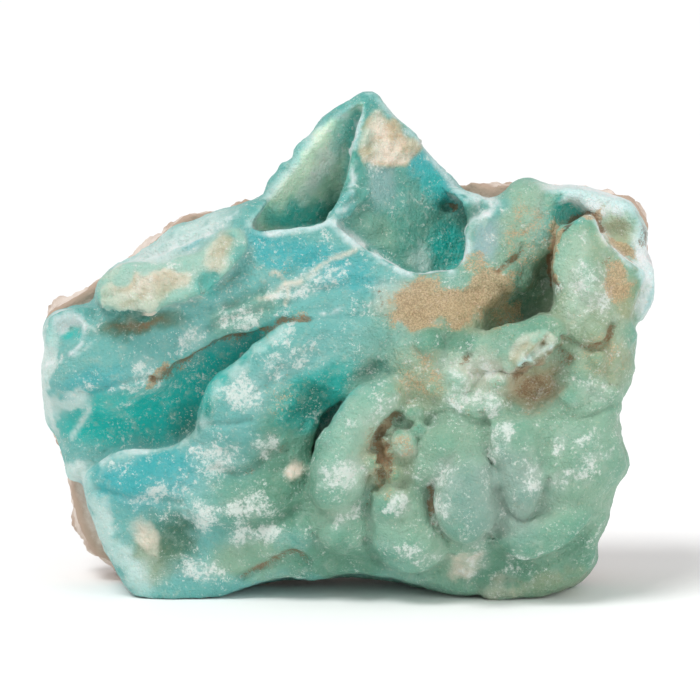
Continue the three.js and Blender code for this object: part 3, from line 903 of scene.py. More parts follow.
        return [
            *grow(3, slope),
            *grow(1.5, corner),
            *grow(2.5, big),
            *hollow(1.2, lobe(42.8, -8.5, 75.6, 3.8, 6, 3.6, -20),
                    lobe(51.9, -9, 72.4, 3.8, 4.4, 2.8, -15)),
            *hollow(2.0, ridge((40.6, -8, 71.5, 1.0), (39.4, -9, 66, 2.4), (37.6, -10, 60.5, 3.8),
                               (36.2, -11, 57, 4.6)),
                    ridge((39.8, -5, 66, 2.0), (38.2, -6, 60.5, 3.4), (37, -6, 57, 4.4))),
            *hollow(3.5, valley),
            *grow(0.6, curtain, lobe(46.5, -8, 63, 6, 10.5, 9)),
            *grow(1.5, ridge((20, -13, 47.5, 3.6), (26, -15.5, 48.5, 4), (31.5, -18, 50, 4.2),
                             (36, -19, 51, 4))),
            *grow(0.8, stub),
            *hollow(0.4, ridge((33.4, -24.2, 46.9, 0.9), (36.4, -24, 49.4, 1.1), (38.4, -23.4, 51.4, 0.8))),
        ]

    def horn(self) -> list[Step]:
        """The horn behind the ledge, with a pocket on either side of its septum.

        Returns:
            The steps in order.
        """
        outline = Sheet(((3.6, 99.5), (2.2, 99.1), (0.8, 98.2), (-1.7, 96.8), (-3, 96.1), (-5.4, 93.9),
                         (-7.8, 90.8), (-9.2, 89.8), (-10.7, 88.2), (-11.3, 86.1), (-13.4, 85.5),
                         (-14.2, 83.9), (-16, 82), (-16.4, 80), (-18.3, 78), (-22, 76.4), (-24, 72),
                         (-20, 62), (24, 62), (25, 74), (21.6, 78), (21.5, 80.7), (18, 84.5), (14, 88.5),
                         (13, 91), (8.4, 94.7), (5.6, 98.4)), -60.0, 0.8, smoothing=2)
        apex, foot = (3.2, 8.0, 100.0), (-3.3, -4.0, 74.2)
        faces = Block((2, 10, 80), (
            (apex, (-20.5, 4.0, 72.0), foot),
            (apex, (22.0, 11.0, 80.0), foot),
            ((-20, 20, 70), (22, 20, 70), (4, 15, 99)),
            ((-20, 0, 58), (22, 0, 58), (0, 10, 58)),
        ), 0.8, 44)
        pocket = Sheet(POCKET, -60.0, 0.6, smoothing=2)
        hollow_of_pocket = Block((-6, 2, 80), (
            ((-18.0, 6.0, 73), (-5.0, 7.5, 91), (0.0, 15.5, 78)),
            ((2.4, 8, 95), (-3.0, -6, 74), (-1.0, 14, 80)),
            ((-18, -4, 72.0), (-3.5, -6, 73.0), (-10, 14, 69)),
        ), 2.5, 44)
        basin = Sheet(BASIN_RIM[:-2] + ((23, 73.6), (22.4, 76), (20.6, 79), (14, 82), (7, 81), (2.6, 80.4),
                                        (-0.6, 78.2), (-2.8, 76.2)), -60.0, 0.8, smoothing=2)
        hollow_of_basin = Block((12, -6, 76), (
            (apex, (22.0, 11.0, 80.0), foot),
            ((2, -4, 66), (20, -4, 61), (12, 10, 66)),
            ((23.8, -4, 70), (22.8, 12, 70), (24, 0, 80)),
        ), 2.5, 44)
        return [
            *grow(1.2, Both(outline, faces, 0.8)),
            *hollow(0.6, Both(basin, hollow_of_basin, 0.6)),
            *hollow(0.5, Both(pocket, hollow_of_pocket, 0.6)),
            *grow(1.5, lobe(14.2, 7, 66.6, 3.0, 4, 2.6), lobe(7.6, 5, 69.4, 3.2, 4, 2.6),
                  lobe(2.5, 2, 73.5, 3.6, 4, 3.4)),
            *grow(1.4, ridge((-3.4, -4.6, 74.8, 1.2), (-1.6, -3.6, 76.6, 1.2), (-0.2, -2.0, 78.4, 1.3),
                             (0.6, 0, 80.6, 1.2))),
            *grow(0.8, ridge((-3.4, -5.0, 74.6, 1.0), (-1.2, -4.0, 76.0, 1.0), (1.0, -2.4, 77.8, 1.0),
                             (3.2, -0.4, 79.8, 1.1))),
            *hollow(1.5, lobe(24.8, -6.5, 76.6, 2.8, 4.0, 1.5, 35)),
            *hollow(1, lobe(19.4, 8, 77.2, 1.6, 3, 1.5)),
        ]

    def upper_left(self) -> list[Step]:
        """The broken cream lump over its groove, and the knob with a pocket at the left edge.

        Returns:
            The steps in order.
        """
        lump = Sheet(LUMP, -15.0, 1.4, dome=1.5, lean=(0.03, 0.42))
        knob = Sheet(((-59.3, 50), (-58.9, 55), (-56.6, 56.6), (-53.6, 57.4), (-50.4, 57.3), (-49.6, 55),
                      (-50.4, 52.2), (-53, 50.2), (-56, 49)), -8.5, 2.0)
        return [
            *grow(1.5, knob),
            *hollow(1.2, lobe(-55.4, -10.5, 53.8, 3.2, 3.6, 2.3, 8)),
            *grow(1.0, lump),
            *hollow(0.8, ridge((-50, -12.5, 55.8, 1.0), (-46.3, -13.5, 54.9, 2.2), (-42.3, -14.5, 54, 2.7),
                               (-38, -14.5, 55, 2.3), (-33, -14, 57.4, 1.2))),
            *hollow(1.0, lobe(-27, -15.5, 62.6, 2.6, 2.6, 2.2, 30)),
        ]

    def sculpt(self) -> Sculpture:
        """The whole crust as a distance field.

        Returns:
            The sculpture.
        """
        form = Sculpture(self.low, self.high, self.cell)
        for steps in (self.ground(), self.left_side(), self.lower_flange(), self.cluster(), self.thumbs(),
                      self.upper_right(), self.knobs(), self.horn(), self.upper_left()):
            form.apply(steps)
        x, y, z = form.everywhere()
        form.values = soft_max(form.values, y - self.seam.at(x, z), 0.8)
        form.values = soft_max(form.values, FOOT - z, 0.5)
        return form

    def build(self) -> bpy.types.Object:
        """Meshes the crust, creases and roughens it, and stores its colour and masks, one of them for
        painted shade.

        Returns:
            The piece.
        """
        form = self.sculpt()
        points, quads = form.polygons()
        normals = vertex_normals(points, quads)
        crest = form.sample(form.blurred(*self.crest_blur), points)
        depth = form.sample(form.blurred(*self.depth_blur), points)
        coat = CrustCoat.of(points, normals, crest, depth)
        obj = piece_from("aragonite_crust_looks", points + normals * coat.relief[:, None], quads)
        # hollow holds painted shade for creases and hollows
        for name in ("frost", "sand", "dirt", "hollow"):
            store(obj, name, getattr(coat, name))
        store_colour(obj, "tint", coat.tint)
        return obj


CHANNEL_CREASE = ((-38.6, 43.6), (-36.5, 43.4), (-34.3, 45.9), (-31, 47.3), (-28.8, 48.7), (-24.3, 51.4),
                  (-20.7, 51.7), (-18, 52.3), (-15, 53.9), (-12.4, 55.4), (-8, 55.4))
LIP = ((-48.5, 27.2), (-46.4, 28.6), (-43.5, 29.4), (-37.5, 29.5), (-33, 30.8), (-29.6, 34), (-28, 38),
       (-25.6, 42), (-22.5, 45.2), (-18.6, 48.8), (-13.3, 53))
LUMP_CREAM = ((-48.4, 58.4), (-48.2, 61), (-46.4, 62.2), (-44.6, 61.2), (-42.8, 62), (-41.4, 64.4),
              (-39.6, 63), (-37.2, 64.6), (-35.4, 65.4), (-34, 64.4), (-32.2, 64.8), (-30.8, 63.8),
              (-31.4, 61.6), (-34.6, 60.6), (-37.4, 58.4), (-38.8, 56.8), (-41, 56.4), (-42.8, 57.6),
              (-46, 58))
LUMP_END_CREAM = ((-28.4, 66.2), (-27.4, 69.2), (-25.4, 71), (-23.6, 71.6), (-23, 69.8), (-24.2, 68),
                  (-23.6, 65.6), (-25.4, 64.6), (-27, 65))
HORN_SCAR = ((2.4, 92.6), (5.2, 95.6), (6.4, 94.1), (8.9, 92.9), (10.8, 90.6), (13, 90.1), (13.5, 88.8),
             (11.7, 85.9), (10.2, 85.1), (6, 85.4), (3, 85.3), (1.9, 87.3))
STUB_END = ((31.5, 46.9), (31.2, 49.4), (33.5, 52.2), (36.1, 53), (39.2, 52.4), (40.4, 50.9), (38.7, 48.9),
            (35.2, 46.4), (32.4, 45.4))
CURTAIN_EDGE = ((45.8, 75.6), (47.7, 74.9), (49.2, 71.9), (51, 69.6), (53, 67.6), (57.2, 64.5))

CREASES = (
    Stroke(CHANNEL_CREASE, 1.0, 0.9, 0.75),
    Stroke(((-52.8, 40.7), (-50.9, 40.4), (-46.3, 42.4), (-42.3, 43.3), (-39, 43.9)), 0.9, 0.5, 0.1),
    Stroke(((-26.5, 26.2), (-25.2, 25.5), (-21, 25.1), (-17.7, 27.2), (-16.3, 28.8), (-12.7, 30)),
           1.6, 1.1, 0.35),
    Stroke(((-28.4, 34.7), (-24, 34.8), (-19.2, 35.6)), 0.9, 0.5, 0.25),
    Stroke(((-27, 13.8), (-20, 14.7), (-14.6, 16.2), (-10, 18)), 1.8, 0.8, 0.1),
    Stroke(((-21, 4.4), (-17.8, 6.2), (-14.6, 7.9), (-11, 9), (-8.4, 7.6)), 1.9, 1.4, 0.65),
    Stroke(((25.8, 37), (26.4, 35.4), (26.7, 31), (26.8, 28.9)), 0.9, 0.8, 0.1),
    Stroke(((38.4, 35.4), (38.2, 31), (38.4, 27)), 2.0, 0.7),
    Stroke(((28.9, 22), (29.6, 19.6), (30.8, 17.2), (33.8, 15.8), (36.6, 17.4), (38.2, 20.4),
            (38.8, 24)), 1.0, 1.0),
    Stroke(((27.4, 12.4), (28.4, 10), (31.2, 7.9), (34.6, 6.8), (38.9, 8), (43, 10.1), (46.5, 13.4),
            (49, 17)), 1.4, 1.5, 0.15),
    Stroke(((3, 12), (4.6, 8.6), (7.2, 6.2), (11.4, 4.8), (16.5, 5.5), (19.6, 8.6)), 1.1, 0.9),
    Stroke(((8.9, 36.2), (14, 34.4), (16, 36.4), (20.4, 37.4), (25, 37)), 0.8, 0.4, 0.2),
    Stroke(((39, 36.6), (46.5, 36.3), (51, 38.3)), 1.1, 0.8, 0.3),
    Stroke(((20, 37), (24, 35.3), (27, 34.9)), 1.0, 0.6, 0.15),
    Stroke(((28.5, 64.5), (31, 66.3), (33, 67.7), (33.6, 69.4)), 1.1, 0.9, 0.7),
    Stroke(((4.6, 61), (4.7, 56.3), (7.8, 55.8), (7.6, 51)), 0.8, 0.5, 0.35),
    Stroke(((-8, 55.4), (-3, 55.9), (4, 56.3)), 0.8, 0.4, 0.1),
    Stroke(((2.9, 18.8), (4, 14.5), (3.4, 11.2)), 1.4, 0.5, 0.1),
    Stroke(((9.2, 36.4), (6.8, 34.4), (5.8, 31), (6.1, 28.4)), 1.6, 0.8, 0.9),
    Stroke(((6.1, 28.4), (5.9, 25), (4.2, 22), (3.3, 18.6)), 1.3, 0.6, 0.45),
    Stroke(((16, 23), (15.7, 19.5), (16.5, 15.2), (19.4, 11.8)), 1.0, 0.5, 0.45),
    Stroke(((41.8, 51.6), (44, 50.3), (46.5, 49.6), (50, 50.8), (51.2, 54)), 1.3, 1.2, 0.6),
    Stroke(((-27.5, 53.8), (-24, 55), (-20, 56.4), (-16, 57.6)), 1.8, 1.0, 0.3),
    Stroke(((-24, 58.6), (-17, 61.2), (-11, 64.4), (-6, 67.6)), 1.8, 0.8),
    Stroke(((-13, 58), (-7, 60.4), (0, 62.4), (5, 62.6)), 1.6, 0.8),
    Stroke(((-31, 59), (-26, 61.6), (-22, 64.6)), 1.2, 0.8),
    Stroke(((-44, 66.8), (-38, 68.4), (-32, 70.6), (-27, 72.6)), 1.1, 0.9),
    Stroke(((-40, 69.6), (-34, 71.6), (-28, 74)), 0.9, 0.7),
    Stroke(((41, 72.6), (43.4, 74.8), (45.8, 76.0), (47.9, 75.3), (49.2, 72.4)), 0.8, 0.8, 1.0),
    Stroke(((3, 60.6), (6.6, 62.6), (12.5, 61.6)), 0.8, 0.5, 0.2),
    Stroke(((6.4, 58), (5.4, 61.4)), 0.7, 0.4, 0.5),
    Stroke(((-27, 57.6), (-22, 58.4), (-17, 60.4), (-11, 61), (-5, 61.6)), 1.6, 0.7),
    Stroke(((-19.6, 40), (-16, 42.4), (-13.4, 46)), 1.4, 0.6, 0.3),
    Stroke(((-50, 22), (-44, 20.4), (-38, 20.2), (-33, 19.4)), 1.3, 0.6),
)
BUMPS = (
    Spot(7.6, 34, 1.2, 1.1, amount=1.1), Spot(6.4, 31.6, 1.1, 1.1, amount=1.2),
    Spot(7.2, 29.2, 1.1, 1.0, amount=1.0), Spot(5.6, 28.6, 1.0, 1.0, amount=0.9),
    Spot(6.4, 26.4, 1.1, 1.1, amount=1.0), Spot(5, 24, 1.1, 1.2, amount=0.9),
    Spot(4.2, 21.4, 1.0, 1.1, amount=0.7), Spot(47.6, 52.6, 2.4, 2.0, amount=1.2),
    Spot(29.6, 2.2, 4.2, 2.1, amount=0.9), Spot(-12, 23.5, 3.4, 2.6, 20, 0.8),
    Spot(30.5, 64, 3.2, 2.2, 20, 0.8), Spot(47, 60, 2.2, 2.0, amount=0.5),
    Spot(23, 48, 1.1, 1.1, amount=-1.0), Spot(36.6, 49.4, 3.2, 0.8, 40, -0.9),
    Spot(15, 52, 4, 3, amount=0.8), Spot(50, 42, 3.0, 2.6, amount=0.8),
    Spot(44, 40.5, 3.2, 2.4, amount=0.8), Spot(-3.5, 13.2, 2.6, 2.4, amount=0.8),
    Spot(-9, 14, 2.6, 2.8, amount=0.9), Spot(35.4, 61.6, 2.4, 2.8, amount=0.8),
    Spot(27.4, 58.8, 2.6, 2.2, amount=0.7), Spot(-11.4, 36.6, 2.6, 3.2, amount=0.7),
    Spot(-6.6, 33, 2.4, 3.0, amount=0.7), Spot(-17, 18, 4, 3, amount=0.7),
    Spot(20.6, 40.6, 2.4, 2.0, amount=0.6), Spot(28, 39.4, 2.2, 2.0, amount=0.6),
    Spot(30, 44.6, 2.2, 2.4, amount=0.7), Spot(17, 46, 2.4, 2.8, amount=0.6),
    Spot(11.4, 49, 3, 3, amount=0.6), Spot(52.4, 49.6, 2.2, 2.6, amount=0.6),
)


class Tint(Enum):
    """Colours of the crust as seen, from 0 to 255, and past it for the painted glow of pocket walls that lie
    in shade.
    """

    TURQUOISE = (124, 196, 190)
    VIVID = (72, 190, 194)
    TEAL = (0, 200, 190)
    # painted shade laid in recesses, under overhangs and deep in channels
    TEAL_SHADE = (0, 124, 108)
    BASIN = (96, 170, 152)
    PAINTED_GLOW = (250, 268, 240)  # painted light: pocket walls that lie in shade get it, so it is lighter than it looks
    GREEN = (150, 190, 164)
    LOWER_GREEN = (108, 164, 138)
    CELADON = (188, 216, 192)
    GREYED = (158, 186, 172)
    OLIVE = (62, 118, 90)
    MOSS = (178, 178, 140)
    LILAC = (168, 198, 198)
    PALE = (228, 246, 241)
    ICE = (253, 255, 255)
    CREAM = (255, 238, 218)
    TAN = (220, 192, 154)
    BROWN = (158, 128, 92)


INSIDE = behind(0.0)
# pocket floors that are lit, where no painted shade is laid
LIGHT_FLOORS = (
    Patch(POCKET, 0.8, depths=INSIDE), Spot(-55.6, 54.6, 3.4, 2.4, 0, 0.9), Spot(52, 72.6, 4, 3, 0, 0.9),
)
PAINT: tuple[tuple[Tint, Mark], ...] = (
    (Tint.GREEN, Spot(32, 28, 34, 34, edge=0.3)), (Tint.GREEN, Spot(40, 66, 20, 20, edge=0.3)),
    (Tint.LOWER_GREEN, Spot(-15.6, 21, 12, 10, 0, 0.95)), (Tint.GREEN, Spot(-2, 14, 7, 8, 0, 0.9)),
    (Tint.LOWER_GREEN, Spot(-4, 7.6, 12, 3.4, 0, 0.9)), (Tint.GREEN, Spot(-20, 8, 8, 4)),
    (Tint.MOSS, Spot(-39, 8.4, 4, 4.4, 20, 0.7)), (Tint.TURQUOISE, Spot(-24, 34, 12, 10, amount=0.6)),
    (Tint.LOWER_GREEN, Spot(-11, 28, 8, 12, amount=0.9)), (Tint.VIVID, Spot(-40, 24, 11, 5, 15, 0.9)),
    (Tint.TEAL, Spot(-44, 36, 13, 5, 10)), (Tint.TEAL, Spot(-30, 41, 11, 3.8, 48)),
    (Tint.TEAL, Spot(-19, 50, 9, 2.0, 33, 0.9)),
    # painted shade: dark teal under the overhanging lip, deep in the second channel and in the groove by the
    # finger
    (Tint.TEAL_SHADE, Spot(-31.5, 34.5, 3.4, 3.4, 40, 0.7, 0.8)),
    (Tint.TEAL, Spot(-6, 40.5, 9, 4.4, 38, 0.9)), (Tint.TEAL_SHADE, Spot(-8, 39, 5.4, 3.2, 38, 0.85, 0.7)),
    (Tint.TEAL_SHADE, Spot(5.2, 45, 2.8, 1.1, 25, 1.0, 0.8)),
    (Tint.TURQUOISE, Spot(-46, 48, 11, 6, amount=0.7)), (Tint.VIVID, Spot(-50, 43, 6, 3, 10, 0.7)),
    (Tint.TEAL, Stroke(((-51, 38), (-44, 38.6), (-37, 41), (-33, 44.6)), 4.6, amount=0.7)),
    (Tint.PALE, Spot(-54.8, 39, 3, 1.8, 10, 0.8)), (Tint.PALE, Spot(-59, 42, 1.5, 13, 3)),
    (Tint.PALE, Spot(-54, 25.5, 3.6, 1.8, -35)), (Tint.PALE, Spot(-47, 13, 1.9, 12, 28, 0.8)),
    (Tint.PALE, Spot(-41.6, 4, 2.6, 4, 20, 0.6)), (Tint.OLIVE, Spot(-35, 12.2, 4.4, 5.4, 15, 0.85, 0.6)),
    (Tint.PALE, Stroke(LIP, 2.4, amount=0.6, depths=before(-10.5))),
    (Tint.PALE, Stroke(((-51, 38.8), (-52.5, 35.4), (-54.4, 32)), 1.0, amount=0.8)),
    (Tint.VIVID, Spot(-43, 24.4, 8, 3.4, 10, 0.9)),
    (Tint.ICE, Stroke(((-49.5, 27.2), (-46, 29.3), (-42.6, 29.9), (-40, 29.8)), 1.3,
                      depths=before(-9.0))),
    (Tint.VIVID, Spot(-10, 68, 12, 3.4, -8, 0.9)), (Tint.VIVID, Spot(0, 63, 11, 3, -25, 0.7)),
    (Tint.LOWER_GREEN, Spot(-20, 56.6, 8, 3, 25, 0.6)), (Tint.PALE, Spot(8.5, 60, 4.6, 3.4, 0, 0.6)),
    (Tint.PALE, Spot(-35, 69.6, 13, 3, 29, 0.9)),
    (Tint.ICE, Stroke(((-45, 65), (-41, 67), (-36.6, 68.6), (-33.8, 70), (-29.5, 71), (-25.2, 73.6),
                       (-22, 75.6)), 1.3, amount=0.9)),
    (Tint.VIVID, Stroke(((-35, 68), (-31.6, 69.2), (-28.4, 71)), 0.9, amount=0.7)),
    # painted light: a glow over the horn pocket's walls, which lie in shade
    (Tint.PAINTED_GLOW, Patch(POCKET, depths=behind(1.0))),
    (Tint.ICE, Spot(-6, 84, 1.6, 9, -28, 0.6, 0.7, INSIDE)),
    (Tint.TEAL, Spot(-1, 92, 4, 2.6, 50, 0.7, 0.6, INSIDE)),
    (Tint.TEAL, Spot(0, 88, 1.6, 7, -8, 0.8, 0.6, INSIDE)),
    (Tint.TEAL, Spot(-9, 75, 9, 2.6, 5, 0.9, 0.6, INSIDE)),
    # painted shade in the pocket's deep corner by the septum
    (Tint.TEAL_SHADE, Spot(-2, 76.6, 2.6, 4.2, -30, 1.0, 0.7, INSIDE)),
    (Tint.BASIN, Spot(9, 79, 14, 16, 0, 0.7, 0.45, behind(-3.0))),
    (Tint.LILAC, Spot(6, 82, 2.8, 5, 0, 0.6)),
    (Tint.TAN, Stroke(((8.4, 71.6), (12, 68.6), (14, 66.6)), 0.5, amount=0.5, depths=INSIDE)),
    # painted shade along the basin's inner wall just inside its rim
    (Tint.TEAL_SHADE, Stroke(((2, 72), (6, 69), (10, 66.4), (14, 65.2), (19, 66)), 1.4, amount=0.7,
                            depths=INSIDE)),
    (Tint.VIVID, Spot(16, 84, 3.4, 8, 38, 0.9)), (Tint.TEAL, Spot(16.6, 80.4, 2.4, 4, 30, 0.5, 0.7)),
    (Tint.BASIN, Spot(12, 71, 10, 6.4, 0, 1.0, 0.4, INSIDE)), (Tint.GREEN, Spot(5, 72.4, 5, 3, -30, 0.5)),
    (Tint.TEAL, Spot(19.5, 69, 3.4, 4.6, 0, 0.9, 0.5, INSIDE)),
    (Tint.PALE, Spot(14.2, 67.4, 2.4, 2.2, 0, 0.5)), (Tint.LILAC, Spot(26.4, 70.5, 2.8, 3.8)),
    (Tint.VIVID, Spot(29, 77, 1.6, 3, -40, 0.5)), (Tint.MOSS, Spot(45, 62, 9, 15, 0, 0.4)),
    (Tint.CELADON, Spot(43.6, 65, 3.6, 9, 0, 0.9)), (Tint.MOSS, Spot(53.4, 60, 2.6, 4.6, 0, 0.9)),
    (Tint.OLIVE, Spot(34.6, 62.4, 4.6, 7, -20, 0.55)), (Tint.OLIVE, Spot(29, 57.6, 5, 3.4, 0, 0.5)),
    (Tint.TURQUOISE, Spot(27, 76.6, 3.4, 2.4, 30, 0.7)), (Tint.TURQUOISE, Spot(37, 74, 2.6, 4, 0, 0.5)),
    (Tint.TEAL, Spot(42.4, 76.4, 3.4, 2.6, 0, 0.8)), (Tint.ICE, Spot(48, 79, 11, 2.6, -14)),
    (Tint.ICE, Spot(57.6, 67, 1.8, 8, 3)), (Tint.ICE, Spot(58, 60, 1.9, 5, -8, 0.8)),
    (Tint.VIVID, Stroke(((59, 63), (58.4, 59), (57.4, 56.8)), 0.5, amount=0.4)),
    # painted light: a glow on the shaded wall of the right-hand pocket, under its moss colour
    (Tint.PAINTED_GLOW, Spot(51.8, 72.6, 3.8, 2.6, -15, 0.7)), (Tint.MOSS, Spot(51.8, 72.2, 3.4, 2.4, -15, 0.8)),
    (Tint.CELADON, Spot(24, 45, 9, 6, 0, 0.7)),
    (Tint.ICE, Stroke(((21, 80), (24, 79), (27.5, 77.8)), 2.4)),
    (Tint.TEAL, Spot(25.4, 75.8, 2, 1.6, 30, 0.6, 0.5, INSIDE)), (Tint.GREYED, Spot(28, 20, 11, 9)),
    (Tint.MOSS, Spot(38, 3, 12, 2.4, 8, 0.5)), (Tint.LOWER_GREEN, Spot(29, 5.4, 9, 2.4, 4, 0.9)),
    (Tint.LOWER_GREEN, Spot(45, 9, 5, 3, 35, 0.7)), (Tint.LOWER_GREEN, Spot(28, 8.6, 4, 3, 10, 0.8)),
    (Tint.CELADON, Spot(1, 31, 5.5, 13, -22, 0.7)), (Tint.MOSS, Spot(17, 57, 12, 5.4, -10, 0.75)),
    (Tint.MOSS, Spot(51, 48, 4.5, 6, 0, 0.6)), (Tint.MOSS, Spot(13, 43, 5, 6, 0, 0.5)),
    (Tint.CREAM, Spot(27, 45, 6, 4, 0, 0.35)), (Tint.CELADON, Spot(34, 76, 4, 5, 0, 0.6)),
    (Tint.LOWER_GREEN, Spot(20, 51.5, 5, 2.6, 0, 0.9)), (Tint.MOSS, Spot(8, 27, 4, 7, 10, 0.4)),
    (Tint.GREEN, Spot(32, 72, 4, 7, 0, 0.5)), (Tint.CELADON, Patch(LUMP, 0.9, 0.6)),
    (Tint.PALE, Patch(LUMP, 0.35, 1.2)), (Tint.CREAM, Patch(LUMP_CREAM, 1.0, 0.35)),
    (Tint.CREAM, Patch(LUMP_END_CREAM, 1.0, 0.7)), (Tint.CREAM, Spot(-45.6, 64, 2.6, 1.2, 30, 0.5)),
    (Tint.CREAM, Patch(HORN_SCAR, 1.0, 0.3)), (Tint.TEAL, Spot(-27, 62.4, 2.6, 2.2, 30, 0.7)),
    (Tint.TURQUOISE, Spot(-23.6, 71, 1.2, 1.0, 0, 0.8)),
    (Tint.TURQUOISE, Spot(-21.6, 67.8, 1.2, 1.8, 0, 0.6)), (Tint.TAN, Spot(-35, 61.8, 3.4, 1.8, 25, 0.5)),
    (Tint.TAN, Stroke(((-44, 58.6), (-41, 59.6), (-39, 62.8)), 0.8, amount=0.6)),
    (Tint.TAN, Stroke(((-48, 59.6), (-46, 61), (-43, 61.2), (-41.4, 63.4)), 0.6, amount=0.7)),
    (Tint.TAN, Spot(-25, 69, 1.6, 3, -20, 0.5)), (Tint.TAN, Stroke(HORN_SCAR, 0.7, amount=0.7)),
    (Tint.TAN, Spot(8.2, 91.8, 2.6, 1.8, -30, 0.9)), (Tint.TAN, Spot(11.4, 89, 1.6, 1.4, 0, 0.7)),
    (Tint.TAN, Spot(3.6, 87.4, 1.6, 1.8, 0, 0.8)), (Tint.CREAM, Spot(10.3, 31, 2.6, 2.6, 0, 0.5)),
    (Tint.MOSS, Spot(4.5, 26, 2.4, 4, 0, 0.6)), (Tint.OLIVE, Spot(-41.6, 54, 7.5, 1.9, 10, 0.9, 0.6)),
    # painted shade: a dark band under the overhang of the cream lump
    (Tint.TEAL_SHADE, Spot(-42.8, 56.6, 5, 0.9, 0, 0.8, 0.6)),
    (Tint.BROWN, Spot(-41, 54, 5.5, 1.2, 10, 0.5, 0.6)),
    (Tint.BROWN, Spot(35.6, 42.2, 4.6, 3.4, 20, 0.7, 0.6)),
    (Tint.TAN, Spot(35, 43.4, 5.4, 4.2, 20, 0.5, 0.6)), (Tint.CREAM, Patch(STUB_END, 0.85)),
    (Tint.TAN, Stroke(((32, 46.4), (32.2, 48.6), (34.6, 50.6)), 1.0, amount=0.8)),
    (Tint.CELADON, Spot(36.6, 51.8, 1.8, 0.9, 20, 0.7)),
    (Tint.TAN, Stroke(((34.2, 48.6), (36, 50), (37.8, 51.4)), 0.7)),
    (Tint.BROWN, Stroke(((32.1, 45.2), (35.4, 46.9), (39.2, 49.2), (41.2, 50.8)), 0.8, amount=0.8)),
    (Tint.ICE, Stroke(((32.7, 46.5), (35.4, 48), (37.4, 49.2), (39.4, 49.9)), 0.6)),
    (Tint.BROWN, Spot(37.2, 50.2, 0.9, 0.7, 30)), (Tint.CREAM, Spot(-10.8, 24.9, 2.2, 1.9, 15)),
    (Tint.CREAM, Spot(22, 6.8, 3.6, 1.6, 35, 0.7)), (Tint.CREAM, Spot(-39.8, 12, 1.8, 3.8, 20, 0.8)),
    (Tint.CREAM, Spot(29.6, 2.4, 4, 1.8, 0, 0.4)),
    (Tint.CREAM, Stroke(((-17.5, 59.6), (-14.4, 60), (-12.5, 62.4), (-9.4, 62.7), (-6.6, 64.9),
                         (-3.5, 66.8), (0.2, 68.3), (2.4, 69.1)), 1.1, amount=0.75)),
    (Tint.CREAM, Stroke(((-16.5, 62.4), (-14.7, 64.6), (-13.1, 63.4), (-11.9, 60.6), (-12.5, 58.4)), 0.7,
                        amount=0.7)),
    (Tint.ICE, Stroke(((-5.4, 56.4), (-3.4, 56.6), (-1.6, 57.2)), 0.6, amount=0.8)),
    (Tint.ICE, Stroke(((-52.9, 55.6), (-51.4, 53.4), (-53, 49.8), (-56.6, 47.6), (-59, 46.6)), 0.8,
                      amount=0.8)),
    (Tint.PALE, Stroke(((-52.4, 55), (-49.4, 53), (-49.8, 51), (-53.6, 48.2)), 0.7, amount=0.6)),
    # painted light and shade in the knob's pocket: white over its lit upper wall, a teal shadow along its
    # bottom
    (Tint.ICE, Spot(-55.8, 54.8, 3.4, 2.4, 0, 0.8)), (Tint.TEAL, Spot(-54.8, 52, 2.6, 0.9, 12, 0.8)),
    (Tint.ICE, Stroke(BASIN_RIM, 1.5, depths=before(-2.0))),
    (Tint.ICE, Stroke(POCKET_FOOT, 1.2, depths=before(-1.0))),
    (Tint.PALE, Stroke(POCKET_LEFT, 1.8, amount=0.8, depths=before(9.0))),
    (Tint.ICE, Stroke(SEPTUM, 1.1, amount=0.9)),
    (Tint.ICE, Stroke(((3.6, 99), (6, 97.6), (8.6, 94.2), (13, 90.4), (17.6, 84.6), (21, 80.8)), 1.3,
                      amount=0.7)),
    (Tint.ICE, Stroke(CURTAIN_EDGE, 1.2, depths=before(-4.0))),
)
SAND: tuple[Mark, ...] = (
    Spot(17, 58.5, 9.5, 4.2, -6), Spot(26.5, 61, 5.5, 3.6, 30), Spot(12, 55.6, 5, 2.6),
    Spot(24.6, 66, 3, 3, 0, 0.6), Spot(39.6, 69, 1.0, 7), Spot(53, 69.3, 4.0, 1.3, -35),
    Spot(47.4, 75.6, 2.2, 0.8, 8), Spot(42, 47, 5, 3, 0, 0.35), Spot(-20, 62.5, 13, 2.4, 22, 0.25),
    Spot(34, 72, 5, 8, 0, 0.45), Spot(52, 62, 3, 5, 0, 0.7), Spot(13, 44, 6, 6, 0, 0.45),
    Spot(-36.5, 44.6, 3.4, 1.2, 35, 0.8), Spot(30, 56, 4, 3, 0, 0.6), Spot(50, 48, 5, 5, 0, 0.4),
    Spot(10.3, 31, 2.6, 2.6, 0, 0.5), Spot(6, 27, 3, 7, 8, 0.5), Spot(-13, 40, 6, 4, 40, 0.35),
    Spot(40, 66, 18, 18, 0, 0.22), Spot(28, 42, 24, 8, 0, 0.25), Stroke(CHANNEL_CREASE, 1.6, amount=0.5),
)
DIRT: tuple[Mark, ...] = (
    Spot(-41.4, 54, 6.5, 1.4, 10, 0.45, 0.6), Spot(35.6, 42, 4.2, 3.0, 20, 0.5, 0.6),
    Spot(19.6, 77.3, 0.9, 0.9), Spot(33, 45.2, 2.6, 1.2, 30, 0.7, 0.6),
    Spot(33, 61.6, 3.4, 5.4, -20, 0.35, 0.7), Spot(29, 55, 3, 2, 30, 0.4, 0.6),
    Spot(-35, 44.4, 2.2, 1.0, 40, 0.6), Spot(-12.4, 55.5, 2.0, 0.7, 10, 0.8),
    Spot(41.5, 47.5, 2.6, 2.4, 0, 0.5), Spot(39.3, 66, 0.7, 6, 0, 0.8), Spot(5.8, 29, 1.6, 6, 8, 0.7),
    Spot(32.5, 67.4, 3.6, 1.0, 40, 0.6), Spot(23, 48, 1.2, 1.2, 0, 0.7), Spot(57.6, 72, 1, 2, 0, 0.6),
    Spot(50.6, 66.3, 1.0, 0.8, 0, 0.6), Spot(16, 20, 0.8, 3.4, 0, 0.8),
)
